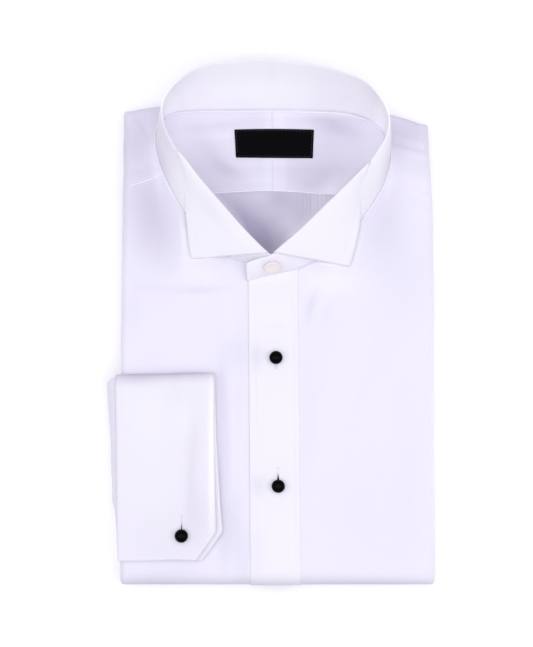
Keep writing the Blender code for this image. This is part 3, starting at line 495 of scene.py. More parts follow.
def clothFinish(name, look):
    finish = Finish(name)
    flat, u, v = finish.onCloth()
    turn = 2.0 * math.pi / (look["thread"] * uvPerMm)
    slub = finish.cloud(flat, 55.0, 2.0) * 3.0
    weave = (u * turn + slub).sine() * (v * turn + slub).sine()
    soft = finish.bump(0.5, look["creaseDepth"], finish.cloud(flat, 9.0, 3.0, Roughness=0.55))
    fine = finish.bump(0.5, look["weaveDepth"], weave, Normal=soft)
    full = finish.blend(finish.cloud(flat, 2.6, 4.0), look["shade"], look["color"])
    thin = finish.node("Attribute", {"attribute_name": "thin"}, {}, 2)
    # painted shade blends the cloth towards the darker colour; under 0 the cloth glows with painted light
    paintedGlow = finish.blend(thin * -1.0, (0.0, 0.0, 0.0, 1.0), look["color"])
    return finish.surface(BaseColor=finish.blend(thin, full, look["paintedShadeColor"]),
                          EmissionColor=paintedGlow, EmissionStrength=1.0,
                          Roughness=look["roughness"] + weave * 0.05, Normal=fine,
                          SheenWeight=look["sheen"], SheenRoughness=0.4, SpecularIORLevel=0.25)


def glossFinish(name, color, roughness, specular):
    finish = Finish(name)
    smear = finish.cloud(finish.onObject(), 260.0, 3.0)
    return finish.surface(BaseColor=color, Roughness=roughness + smear * 0.05, SpecularIORLevel=specular)


def labelFinish(name):
    finish = Finish(name)
    flat, u, v = finish.onCloth()
    turn = 2.0 * math.pi / (0.5 * uvPerMm)
    ribs = (v * turn).sine() * 0.7 + (u * turn).sine() * 0.3
    color = finish.blend(ribs.size(), (0.0012, 0.0012, 0.0016, 1.0), (0.003, 0.003, 0.0036, 1.0))
    return finish.surface(BaseColor=color, Roughness=0.8 + ribs * 0.08, SheenWeight=0.0,
                          Normal=finish.bump(0.5, 0.00006, ribs), SpecularIORLevel=0.05)


def threadFinish(name, color):
    finish = Finish(name)
    fuzz = finish.cloud(finish.onObject(), 2400.0, 2.0)
    return finish.surface(BaseColor=color, Roughness=0.55 + fuzz * 0.1, SheenWeight=0.2,
                          Normal=finish.bump(0.4, 0.00005, fuzz))


finishes = {
    "poplin": clothFinish("poplin", cotton), "interlined": clothFinish("interlinedPoplin", stiffCotton),
    "onyx": glossFinish("onyx", (0.0006, 0.0006, 0.0008, 1.0), 0.05, 0.06),
    "ivory": glossFinish("ivory", (0.93, 0.86, 0.84, 1.0), 0.34, 0.4), "label": labelFinish("wovenLabel"),
}
whiteThread = threadFinish("whiteThread", (0.89, 0.87, 0.955, 1.0))
blackThread = threadFinish("blackThread", (0.006, 0.006, 0.007, 1.0))
print("materials ready")


# fronts and yoke

collarRows = table("seam top lift",
    ((-1.5, 228.6), (-0.4, 234.4, 37.0), 0.0), ((-17.3, 229.8), (-6.7, 238.7, 38.8), 0.0),
    ((-33.8, 237.5), (-21.2, 253.4, 40.2), 0.0), ((-49.6, 251.1), (-36.8, 271.1, 41.0), 0.0),
    ((-63.6, 268.9), (-53.2, 290.3, 41.4), 0.0), ((-72.7, 285.1), (-62.3, 302.5, 41.8), 0.0),
    ((-79.2, 299.6), (-67.7, 309.0, 42.0), 0.0), ((-82.9, 313.0), (-73.9, 319.7, 42.4), 0.0),
    ((-82.8, 326.5), (-78.2, 332.4, 42.8), 0.0), ((-78.6, 336.4), (-77.4, 345.2, 42.4), 0.0),
    ((-69.4, 341.2), (-68.6, 357.9, 41.8), 0.0), ((-53.5, 342.4), (-52.5, 369.0, 41.0), 0.0),
    ((-26.7, 342.7), (-26.3, 373.9, 40.4), 0.0), ((0.0, 342.8), (0.0, 374.7, 40.2), 0.0),
    ((28.9, 342.4), (29.9, 371.3, 40.4), 0.0), ((49.1, 341.2), (51.8, 365.4, 41.0), 0.0),
    ((62.8, 338.6), (66.1, 358.9, 41.8), 0.0), ((74.4, 333.4), (76.3, 348.6, 42.4), 0.0),
    ((82.0, 324.4), (82.5, 336.8, 42.8), 0.0), ((84.7, 313.0), (83.3, 326.7, 42.8), 0.0),
    ((83.9, 301.1), (80.7, 317.1, 42.6), 0.0), ((80.2, 288.6), (75.9, 309.3, 42.2), 0.0),
    ((73.6, 276.0), (69.0, 299.6, 41.8), 0.0), ((63.6, 261.6), (56.2, 286.8, 41.4), 0.0),
    ((48.9, 245.7), (39.0, 270.1, 40.8), 0.1), ((31.6, 232.9), (21.0, 252.6, 40.0), 0.4),
    ((17.2, 225.6), (7.9, 241.3, 39.2), 0.9), ((3.6, 222.8), (-0.8, 234.3, 38.2), 0.9),
    ((-7.2, 220.1), (-9.3, 232.0, 36.6), 0.9), ((-17.6, 217.2), (-18.0, 228.9, 34.6), 0.9))
collarLast = len(collarRows) - 1
collarSeams = [Vector(row["seam"]) for row in collarRows]
collarTops = [Vector(row["top"]) for row in collarRows]
collarLifts = [row["lift"] for row in collarRows]
seamGap = 0.12               # a sewn edge stands over the cloth under it


neckSeam = {side: [splineAt(seams, t) for t in steps(120)]
            for side, seams in ((-1, collarSeams[1:14]), (1, collarSeams[13:27][::-1]))}


def neckX(side, y):
    # the neck seam as x against y, front to nape, on the wearer's right (-1) or left (1)
    samples = neckSeam[side]
    for low, high in zip(samples, samples[1:]):
        if y <= high.y:
            return mix(low.x, high.x, max(0.0, (y - low.y) / max(high.y - low.y, 1e-6)))
    return samples[-1].x


placket = {"leftTop": -16.9, "rightTop": 18.3, "leftHem": -15.1, "rightHem": 20.5, "length": 220.0,
           "evenTo": 214.0, "foldRise": 1.1, "stitchedRise": 0.75, "hemRise": 0.62, "leftInset": 5.0,
           "rightInset": 3.4, "under": 6.0}


def placketLeft(y):
    return mix(placket["leftHem"], placket["leftTop"], y / placket["length"])


def placketRight(y):
    return mix(placket["rightHem"], placket["rightTop"], y / placket["length"])


underBand = 1.6              # the shirt reaches this far in under the band


def frontInnerEdge(side, y):
    if side < 0:
        under = placketLeft(y) + placket["under"]
        return min(under, neckX(-1, y) + underBand) if y > 224.0 else under
    under = placketRight(y) - placket["under"]
    return max(under, neckX(1, y) - underBand) if y > 221.0 else under


def yokeSeamEnds(side):
    inner, outer = yokeSeam(side, side * neck["halfWidth"]), yokeSeam(side, side * 110.0)
    return neckX(side, inner), flatSide(side, outer)


# painted shade on the fronts: ovals darken the cloth by the shoulders, on the chest, under the collar,
# beside the cuff and at the hem, and ovals under 0 paint light
frontPaintedShade = table("x y wide tall thin turn edge",
    (-86, 262, 20, 34, 0.4, 10), (-98, 322, 17, 26, 0.4), (-80, 344, 14, 10, 0.18),
    (100, 326, 19, 16, 0.38), (88, 312, 8, 22, 0.15), (80, 264, 16, 36, 0.24), (-53, 211, 18, 2.6, 0.17, 2),
    (-88, 213, 12, 2.4, 0.08, -3), (-100, 196, 9, 16, 0.06), (28, 200, 3.2, 10, 0.14, -18),
    (40, 194, 4, 10, 0.05, -18), (-24, 165, 9, 12, 0.1), (-36, 96, 6, 64, 0.2, 0, 2.0),
    (-28, 42, 5, 24, 0.16), (-76, 151, 36, 4.5, 0.1, 0, 2.0), (70, 52, 26, 40, 0.04),
    (98, 214, 16, 40, 0.05, -20), (26, 120, 5, 40, 0.03), (4, -3, 160, 8.0, 0.42, 0, 1.5),
    (117, 160, 3.6, 190, -0.13, 0, 1.5), (-80, 5, 30, 6.0, 0.16), (-20, 20, 6, 24, 0.1),
    (80, -6, 50, 6, 0.45), (-90, -6, 30, 6, 0.35), (-90, 284, 22, 16, 0.1), (104, 302, 12, 14, 0.07),
    (-84.5, 303, 2.6, 24, -0.14, 9), (86, 298, 2.6, 22, -0.14, -9), (-60, 222, 30, 12, -0.08),
    (40, 218, 22, 14, -0.07), (96, 60, 10, 60, 0.04), (-46, 233, 13, 1.6, -0.25, 2),
    (40, 229, 14, 1.6, -0.27, -9), (-64, 254, 1.8, 20, -0.2, 4), (63, 248, 1.8, 18, -0.2, -11),
    (-34, 32, 4, 18, 0.12), (117, 90, 3, 90, -0.08, 0, 2), (-39, 92, 2, 52, -0.18, 0, 2),
    (42, 216, 16, 9, -0.06), (-88, 269, 8, 20, 0.06))


def outerPiece(side, rows, wrap, name, node):
    # flat rows and their wrap over the edge as one piece, with its face up on either side
    cloth = Cloth(rows if side > 0 else [row[::-1] for row in rows])
    cloth.patch(wrap[::-1] if side > 0 else wrap)
    word = sideWord[side]
    return cloth.piece(name + word, "poplin", [node + word.lower()], side=-1.0, thin=pack["thin"],
                       spots=frontPaintedShade)


def makeFront(side):
    # flat part from placket and neck to the side, then the wrap round side and hem; the last rows
    # go in under the yoke
    hem = pack["roundHem"]
    xNeck, xSide = yokeSeamEnds(side)
    levels = [(v, 0.0, 0.0) for v in spread(0.0, 1.0, pack["grid"] / 285.0)]
    levels += [(1.0, 0.5, 0.3), (1.0, 1.5, 0.6), (1.0, 3.5, 0.6)]
    rows = []
    for v, past, drop in levels:
        innerY = mix(hem, yokeSeam(side, xNeck), v) + past
        outerY = mix(hem, yokeSeam(side, xSide), v) + past
        xInner, xOuter = frontInnerEdge(side, innerY), flatSide(side, outerY)
        row = []
        for u in steps(56):
            x, y = mix(xInner, xOuter, u), mix(hem, yokeSeam(side, mix(xNeck, xSide, u)), v) + past
            row.append(Vector((x, y, bodyTop(x, y) - drop)))
        rows.append(row)
    wraps = [(hemStation(p.x), 0.0) for p in rows[0][:-1]]
    wraps += [(station, 0.0) for station in cornerFan(side, -1)[::-1]]
    wraps += [(sideStation(side, row[-1].x, row[-1].y), -drop)
              for row, (v, past, drop) in zip(rows[1:], levels[1:])]
    wrap = [[station.point(turn, lift) for station, lift in wraps] for turn in turns]
    made = outerPiece(side, rows, wrap, "front", "front_")


def makeShoulder(side):
    # half of the yoke outside: shoulder, then the turn behind the neck to its middle seam
    xNeck, xSide = yokeSeamEnds(side)
    xCorner = cornerX(side)
    xTop = neckX(side, flatShoulder(side * 82.0) - 1.0) - side * underBand
    overlap = 0.9
    rows = []
    for v in steps(34):
        innerY = mix(yokeSeam(side, xNeck), flatShoulder(xTop), v)
        xInner = mix(neckX(side, innerY) - side * underBand, xTop, smoothStep(0.8, 1.0, v))
        xOuter = flatSide(side, mix(yokeSeam(side, xSide), flatShoulder(xCorner), v))
        row = []
        for u in steps(22):
            low = yokeSeam(side, mix(xNeck, xSide, u)) - overlap
            high = flatShoulder(mix(xTop, xCorner, u))
            x, y = mix(xInner, xOuter, u), mix(low, high, v)
            row.append(Vector((x, y, bodyTop(x, y))))
        rows.append(row)
    wraps = [sideStation(side, row[-1].x, row[-1].y) for row in rows[:-1]]
    wraps += cornerFan(side, 1)
    wraps += [Station(p.x, p.y, 0.0, 1.0, pack["roundShoulder"]) for p in rows[-1][:-1][::-1]]
    wraps += [shoulderStation(x) for x in spread(xTop, side * 0.06, 2.0)[1:]]
    wrap = [[station.point(turn) for station in wraps] for turn in turns]
    for row in (*rows, *wrap):                           # the seam's edge stands a little proud
        for p in row:
            p.z += seamGap
    made = outerPiece(side, rows, wrap, "yokeShoulder", "yoke_shoulder_")


for side in (-1, 1):
    makeFront(side)
    makeShoulder(side)
print("fronts and yoke ready")


# inside of the neck

yokeBottom = table("x y",
    (-104.0, 277.0), (-62.0, 280.0), (-40.6, 282.6), (0.0, 284.6), (45.2, 281.4), (66.0, 279.0),
    (110.0, 275.0))
backTucks = table("x width height long",
    (-33.0, 1.2, 0.5, 12), (21.0, 0.8, 0.5, 11), (24.0, 0.8, 0.9, 15), (26.6, 0.8, 1.0, 19),
    (29.3, 0.7, 0.8, 13), (31.8, 0.9, 1.0, 17), (34.8, 0.8, 0.8, 12), (38.0, 0.8, 0.6, 12))


def floorReach(side, y):
    reach = neckX(side, max(y, 238.0)) + side * 19.0
    return max(reach, flatSide(-1, y) + 1.5) if side < 0 else min(reach, flatSide(1, y) - 1.5)


yokeFolds = table("x0 y0 x1 y1 width height bend steep",
    (-50, 336, -35, 342, 1.7, 0.5), (-48, 333, -30, 340, 2.4, -0.4), (20, 290, 32, 283, 1.5, -0.5),
    (17, 293, 30, 289, 1.6, 0.4), (-67, 329, -42, 338, 3.0, 0.5), (-42, 308, -23, 300, 3.2, 0.5),
    (-44, 302, -19, 290, 3.5, -0.5), (20, 313, 52, 324, 4.0, 0.5), (13, 302, 42, 297, 4.0, -0.5),
    (42, 319, 65, 329, 3.0, 0.4), (-36, 347, -12, 344, 2.0, 0.3), (15, 345, 42, 346, 2.2, -0.3))


def sewnFloor(x, y):
    # the inside of the yoke comes up to the band where it is sewn to it
    folds = sum(foldHeight(fold, x, y) for fold in yokeFolds) + 0.12 * unrest(x, y, 11.0, 8.3)
    return mix(neckFloor(x, y) + folds, bodyTop(x, y) - 0.1, smoothStep(-16.0, 0.6, neckDistance(x, y)))


# painted shade inside the yoke: ovals darken where the collar shades it, and ovals under 0 paint light
yokePaintedShade = table("x y wide tall thin turn edge",
    (2.5, 300, 8.5, 90, -0.12, 0, 2.5), (14, 338, 16, 7, -0.1), (31, 294, 24, 12, 0.26),
    (47, 330, 17, 7, 0.42, -12), (36, 311, 12, 12, 0.14), (-34, 298, 16, 9, 0.22, -30),
    (-44, 312, 8, 16, 0.12, 40), (-40, 331, 26, 3, 0.12, 6), (-28, 324, 24, 1.6, -0.08, 4),
    (0, 299, 70, 2, 0.05), (-12, 291, 22, 1.6, -0.07), (-46, 276, 5, 34, -0.26, 36),
    (46, 280, 6, 34, -0.27, -42), (-70, 306, 10, 26, -0.22), (76, 300, 9, 30, -0.22),
    (40, 318, 16, 10, 0.06), (14, 300, 14, 14, 0.06), (40, 283, 6, 13, -0.3, -42), (36, 335.5, 40, 3, 0.16),
    (46, 318, 12, 9, 0.06), (-76, 316, 6, 18, -0.12), (80, 314, 5, 20, -0.12))
# painted shade on the back inside the neck: darkest low down by the front of the collar, with ovals under 0
# painting light
backPaintedShade = table("x y wide tall thin turn edge",
    (-12, 250, 11, 16, 0.62, 30), (-26, 268, 10, 12, 0.16), (11, 272, 12, 10, 0.1), (-4, 279, 18, 3, -0.12),
    (28, 276, 9, 8, 0.06), (-27, 253, 4.5, 30, -0.4, 40), (25, 256, 5.5, 30, -0.5, -45),
    (34, 276, 7, 13, -0.35, -42), (17, 249, 5, 16, -0.35, -42), (-25, 261, 3.5, 26, -0.4, 40),
    (13, 258, 8, 12, -0.3), (4, 279, 9, 5, 0.25))


def makeYokeInside(side):
    # each column runs from the seam under the yoke up to the collar's seam
    first, last = (13.0, 5.1) if side < 0 else (13.0, 21.8)
    end = splineAt(collarSeams, last / collarLast)
    rows = []
    for v in steps(36):
        row = []
        for u in steps(70):
            seam = splineAt(collarSeams, mix(first, last, u) / collarLast)
            x0 = mix(side * 0.05, end.x, u ** 0.85)
            base = Vector((x0, readTable(yokeBottom, x0) - 0.8))
            spot = base.lerp(seam + Vector((side * 0.25, 0.35)), v)
            x = side * max(0.05, side * spot.x)
            up = v * (seam - base).length
            ridge = (0.25 * bell(x - side * 0.8, 0.9) * smoothStep(1.0, 7.0, up)
                     + 0.3 * bell(up - 1.2, 1.0) * smoothStep(0.0, 4.0, abs(x)))
            row.append(Vector((x, spot.y, sewnFloor(x, spot.y) + seamGap + ridge)))
        rows.append(row if side > 0 else row[::-1])
    word = sideWord[side]
    # the inside of the yoke gets a higher level of painted shade, for the shade inside the collar
    made = Cloth(rows).piece("yokeInside" + word, "poplin", ["yoke_inside_" + word.lower()], side=-1.0,
                             thin=0.29, spots=yokePaintedShade)


def tuckHeight(x, y):
    below = readTable(yokeBottom, x) - y
    return sum(tuck["height"] * smoothStep(tuck["long"], 0.0, below) * smoothStep(-0.4, 1.2, below)
               * bell(x - tuck["x"], tuck["width"]) for tuck in backTucks)


for tuck in backTucks:                                   # painted shade in the valley beside each ridge, painted light on the ridge
    for beside, share in ((1.3, 0.22), (0.0, -0.16)):
        backPaintedShade.append({"x": tuck["x"] + beside, "y": 281.0 - tuck["long"] * 0.35, "wide": 0.8,
                          "tall": tuck["long"] * 0.5, "thin": share * tuck["height"]})


def makeBackInside():
    lowest = 199.0               # where the floor has closed up under the fronts
    rows = []
    for v in steps(52):
        y0 = mix(lowest, 284.0, v)
        row = []
        for u in steps(190):
            x = mix(floorReach(-1, y0), floorReach(1, y0), u)
            y = mix(lowest, readTable(yokeBottom, x) + 1.5, v)
            drop = 0.5 * smoothStep(-2.5, 0.5, y - readTable(yokeBottom, x))
            row.append(Vector((x, y, neckFloor(x, y) + tuckHeight(x, y) - drop)))
        rows.append(row)
    # the back inside the neck gets a high level of painted shade, for the shade in the well under the
    # collar
    made = Cloth(rows).piece("backInside", "poplin", ["back_panel"], side=-1.0, thin=0.66, spots=backPaintedShade)


makeYokeInside(-1)
makeYokeInside(1)
makeBackInside()
print("inside of the neck ready")


# folded layers at the edges

layerIn = 13.0
tailLayer = table("out z",
    (-layerIn, 3.2), (-1.0, 3.2), (0.5, 3.0), (1.3, 2.3), (1.5, 1.5), (1.2, 0.8), (0.3, 0.25), (-1.6, 0.05),
    (-layerIn, 0.05))
sleeveLayer = table("out z",
    (-layerIn, 6.3), (-0.6, 6.3), (1.4, 6.1), (2.5, 5.5), (2.8, 4.9), (2.4, 4.2), (1.2, 3.7), (-0.6, 3.5),
    (-layerIn, 3.5))


def packBorder(pitch):
    # stations all round the pack, anticlockwise seen from above, from the hem's left corner
    hem = pack["roundHem"]
    right, left = cornerX(1), cornerX(-1)
    border = cornerFan(-1, -1)
    border += [hemStation(x) for x in spread(flatSide(-1, hem), flatSide(1, hem), pitch)[1:-1]]
    border += cornerFan(1, -1)[::-1]
    border += [sideStation(1, flatSide(1, y), y) for y in spread(hem, flatShoulder(right), pitch)[1:-1]]
    border += cornerFan(1, 1)
    border += [shoulderStation(x) for x in spread(right, left, pitch)[1:-1]]
    border += cornerFan(-1, 1)[::-1]
    border += [sideStation(-1, flatSide(-1, y), y) for y in spread(flatShoulder(left), hem, pitch)[1:-1]]
    return border


def makeLayer(name, profile, seed, under=False, nodes=()):
    # one U-shaped fold all round the pack; under adds the flat underside of the whole pack
    border = packBorder(3.0)
    rows = []
    for level in profile:
        row = []
        for station in border:
            wander = 0.7 * unrest(station.x, station.y, 24.0, seed) - 0.3
            over = max(level["out"] + wander, 0.0) if level["out"] > 0.0 else 0.0
            wave = 0.45 * unrest(station.x, station.y, 19.0, seed + 3.0) if level["z"] > 1.0 else 0.0
            row.append(station.at(over, over, min(level["out"], 0.0), level["z"] + wave))
        rows.append(row + row[:1])
    if under:
        for t in spread(0.0, 0.985, 0.05)[1:]:
            rows.append([p.lerp(Vector((4.0, min(max(p.y, 90.0), 250.0), p.z)), t) for p in rows[8]])
    cloth = Cloth(rows)
    if under:
        middle = [cloth.vertex(p, (p.x, p.y)) for p in rows[-1][:-1]]
        cloth.faces.append([v for i, v in enumerate(middle) if v != middle[i - 1]][::-1])
    return cloth.piece(name, "poplin", nodes, thin=pack["thin"])


tails = makeLayer("foldedTails", tailLayer, 2.0, True, ["folded_core"])
otherSleeve = makeLayer("foldedSleeve", sleeveLayer, 8.0)
print("folded layers ready")


# collar

collar = {"wall": 1.1, "bow": 1.2, "rightWing": (0.625, 6), "leftWing": (26.625, 22), "crest": 1.2,
          "fine": 8, "bandSteps": 16, "wingSteps": 30}
wingRightEdge = [(-68.2, 307.4, 41.4), (-65.1, 297.6, 36.6), (-63.0, 282.7, 31.0),
                 (-61.3, 261.1, 27.2), (-59.6, 243.4, 26.4), (-57.8, 233.3, 26.1)]
wingLeftEdge = [(69.1, 297.6, 41.0), (65.8, 288.0, 36.6), (63.5, 274.7, 31.4),
                (62.7, 259.1, 27.6), (59.1, 240.2, 26.4), (55.6, 228.1, 26.1)]


def collarStation(t):
    seam, top = splineAt(collarSeams, t), splineAt(collarTops, t)
    base = bodyTop(seam.x, seam.y) + seamGap + splineAt(collarLifts, t)
    return Vector((seam.x, seam.y, base)), top


def bandPoint(t, v):
    seam, top = collarStation(t)
    point = seam.lerp(top, v)
    outward = point - neckMiddle
    outward.z = 0.0
    return point + outward.normalized() * collar["bow"] * 4.0 * v * (1.0 - v)


def wingPoint(side, s, u):
    # s runs from the shoulder end of the fold to the front, u from the fold to the free edge
    first, last = collar["rightWing"] if side < 0 else collar["leftWing"]
    edge = [Vector(p) for p in (wingRightEdge if side < 0 else wingLeftEdge)]
    top = collarStation(mix(last, first, s) / collarLast)[1]
    fold = top + Vector((0.0, 0.0, collar["crest"]))
    free = fold.lerp(splineAt(edge, s), smoothStep(-0.06, 0.1, s))
    plan = Vector((free.x - fold.x, free.y - fold.y, 0.0))
    shoulder = fold + plan * 0.42 + Vector((0.0, 0.0, 0.4 - 5.0 * s ** 3))
    return fold.lerp(shoulder, u).lerp(shoulder.lerp(free, u), u)


# painted shade on the collar: ovals darken its hollows and sides, and ovals under 0 paint light on it
collarPaintedShade = table("x y wide tall thin turn edge",
    (-44, 268, 5, 24, 0.1, 36), (62, 272, 6, 18, 0.08, -20), (-82, 300, 8, 26, 0.26),
    (85, 298, 6, 26, 0.18), (0, 224, 24, 8, 0.1), (-72, 342, 14, 16, -0.12), (76, 334, 12, 22, -0.12),
    (-8, 354, 60, 9, -0.11), (34, 356, 10, 14, 0.05), (-52, 356, 8, 10, 0.05, 40), (1, 366, 1.2, 10, 0.07),
    (-60, 272, 7, 26, -0.07), (60, 262, 7, 20, -0.06), (50, 352, 18, 12, 0.08), (-76, 330, 8, 18, -0.14),
    (80, 328, 7, 20, -0.14), (-14, 226, 7, 7, -0.08), (-78, 324, 4, 24, 0.24, 22))


def makeCollar():
    count = collarLast * collar["fine"]
    long, tall = 470.0, 45.0                             # the band laid flat
    levels = steps(collar["bandSteps"])
    cloth = Cloth([[bandPoint(t, v) for t in steps(count)][::-1] for v in levels],
                  flat=[[(t * long, v * tall) for t in steps(count)][::-1] for v in levels])
    for side in (-1, 1):
        first, last = collar["rightWing"] if side < 0 else collar["leftWing"]
        wing, wingFlat = [], []
        for s in steps(round(abs(last - first) * collar["fine"])):
            t = mix(last, first, s) / collarLast
            top = collarStation(t)[1]
            outward = wingPoint(side, s, 0.5) - top
            outward.z = 0.0
            outward.normalize()
            row = [bandPoint(t, 1.0)]
            for share, inward in ((0.42, 0.75), (0.86, 0.45)):   # the round of the fold
                row.append(top + Vector((0.0, 0.0, collar["crest"] * share)) - outward * inward)
            row += [wingPoint(side, s, mix(0.02, 1.0, u)) for u in steps(collar["wingSteps"])]
            wing.append(row[::-side])
            flat = [(t * long, tall + 70.0 * s * i / len(row)) for i in range(len(row))]
            wingFlat.append(flat[::-side])
        cloth.patch(wing, flat=wingFlat)
    made = cloth.piece("collar", "interlined", ["collar_band", "collar_wing_right", "collar_wing_left"],
                       wall=collar["wall"], thin=0.11, spots=collarPaintedShade)


makeCollar()
print("collar ready")


# placket

placketEnd = table("x y", *(splineAt(collarSeams[26:], t) for t in reversed(steps(20))))


def placketTopEdge(x):
    return readTable(placketEnd, x) + 1.2


def placketRise(x, y):
    # the folded edge on the left stands up, the right edge is sewn down flat
    share = (x - placketLeft(y)) / (placketRight(y) - placketLeft(y))
    rise = mix(placket["foldRise"], placket["stitchedRise"], smoothStep(0.1, 0.95, share))
    trough = 0.22 * bell(x - placketLeft(y) - placket["leftInset"], 0.8)
    trough += 0.3 * bell(placketRight(y) - placket["rightInset"] - x, 0.8)
    wrinkle = 0.35 * bell(y - 184.5 - 0.06 * x, 1.3) * bell(x - 3.0, 9.0) + 0.12 * unrest(x, y, 9.0, 3.7)
    level = mix(placket["hemRise"], rise, smoothStep(6.0, 34.0, y))
    return level - (trough + wrinkle) * smoothStep(6.0, 24.0, y)


shutSlot = 0.12
studUpper, studLower, link = table("x y slotLow slotHigh wide narrow shut",
    (2.8, 162.0, 155.4, 164.0, 0.12, 0.06, 7.0), (4.4, 70.2, 68.0, 80.6, 0.9, shutSlot, 10.6),
    (-64.3, 35.1, 33.0, 49.6, 0.85, shutSlot, 15.0))


def slotHalfWidth(stud, y):
    # a buttonhole is held open by the post and shut at its far end
    return mix(stud["wide"], stud["narrow"], smoothStep(2.5, stud["shut"], abs(y - stud["y"])))


# painted shade on the placket: smudges beside the studs and at the hem, and ovals under 0 paint light round
# the studs
placketPaintedShade = table("x y wide tall thin turn edge",
    (-11.5, 163, 5, 9, 0.2), (-10.0, 71, 6, 8, 0.16), (2.8, 162, 8.5, 8.5, -0.1, 0, 1.5),
    (4.4, 70, 8.5, 8.5, -0.1, 0, 1.5), (2, 184.5, 10, 1.2, 0.08), (2, 208, 14, 6, 0.04),
    (2, -3, 60, 8.0, 0.4, 0, 1.5), (-12, 22, 6, 22, 0.08))


def placketSurface(x, y):
    return Vector((x, y, bodyTop(x, y) + placketRise(x, y)))


def makePlacket():
    # even rows up to the last one, then a few that bend into the collar's seam
    hem, evenTo, bent, columns = pack["roundHem"], placket["evenTo"], 6, 26
    marks = [stud[key] for stud in (studLower, studUpper) for key in ("slotLow", "slotHigh")]
    marks = [hem, *marks, evenTo]
    levels = []
    for low, high in zip(marks, marks[1:]):
        levels += spread(low, high, 1.8 if high - low > 13.0 else 0.8)[:-1]
    rows, holes = [], set()
    for r, y0 in enumerate(levels + [evenTo] * bent):
        centre = mix(studLower["x"], studUpper["x"],
                     (y0 - studLower["y"]) / (studUpper["y"] - studLower["y"]))
        half = shutSlot
        for stud in (studLower, studUpper):
            if stud["slotLow"] <= y0 <= stud["slotHigh"]:
                half = slotHalfWidth(stud, y0)
                if y0 < stud["slotHigh"]:
                    holes.add((r, columns))
        across = [mix(placketLeft(y0), centre - half, u) for u in steps(columns)]
        across += [mix(centre + half, placketRight(y0), u) for u in steps(columns)]
        bend = max(0.0, (r - len(levels)) / (bent - 1))
        rows.append([placketSurface(x, mix(y0, placketTopEdge(x), bend)) for x in across])
    wrap = [[hemStation(p.x).point(turn, placketRise(p.x, hem)) for p in rows[0]] for turn in turns[:11]]
    cloth = Cloth(rows, holes)
    cloth.patch(wrap[::-1])
    made = cloth.piece("frontPlacket", "interlined", ["placket"], wall=0.6, side=-1.0, thin=0.125,
                       spots=placketPaintedShade)


makePlacket()
print("placket ready")


# right cuff and sleeve

cuff = {"seamTop": -111.4, "seamLow": -109.6, "foldLeft": 149.2, "foldRight": 150.2, "end": 17.6,
        "mitre": 20.6, "slant": 0.69, "foldRadius": 1.5, "foldReach": 3.6, "lift": 2.9, "wall": 1.1,
        "level": 146.0}          # above this the layers keep their height
cuffEdge = table("y upper under",
    (38.0, -40.1, -35.6), (53.0, -40.6, -36.9), (74.0, -41.2, -38.2), (103.0, -41.8, -40.0),
    (131.0, -41.9, -40.8), (149.0, -41.9, -41.4))


def fromLink(x, y):
    return math.hypot(x - link["x"], y - link["y"])


def cuffBottom(x, y):
    base = bodyTop(max(x, pack["left"] + pack["roundSide"]), y)
    lift = mix(cuff["lift"], 1.0, smoothStep(9.0, 34.0, fromLink(x, y)))
    spring = 2.6 * smoothStep(-84.0, -42.0, x) * smoothStep(14.0, 50.0, y)
    return base + lift + (spring + 1.4 * smoothStep(112.0, 150.0, y))


def cuffTop(x, y):
    # soft unevenness that only the upper layer shows
    trough = -0.75 * bell(x + 53.0, 5.5) * smoothStep(34.0, 60.0, y) * smoothStep(128.0, 92.0, y)
    return trough + 0.35 * unrest(x, y, 34.0, 4.4) * smoothStep(8.0, 20.0, fromLink(x, y))


def freeEdge(y, layer):
    upper, under = (readTable(cuffEdge, y, "y", key) for key in ("upper", "under"))
    return mix(under, upper, layer) - max(0.0, cuff["mitre"] - (y - cuff["end"])) * cuff["slant"]


# painted shade on the cuff: a dark band along the top of its fold and soft streaks, and ovals under 0 paint
# light along its free edge
cuffPaintedShade = table("x y wide tall thin turn edge",
    (-57, 84, 5, 46, 0.15, -3), (-52, 50, 8, 20, 0.14), (-80, 30, 40, 26, 0.07), (-84, 152.5, 60, 5.6, 0.8),
    (-88, 120, 14, 22, -0.04), (-66, 136, 10, 10, 0.05), (-64, 36, 9, 8, -0.1),
    (-43.5, 95, 3, 60, -0.12, 0, 2.0), (-60, 120, 10, 16, -0.05), (-98, 146, 16, 4, 0.18),
    (-43, 95, 2, 56, -0.12, 0, 2))


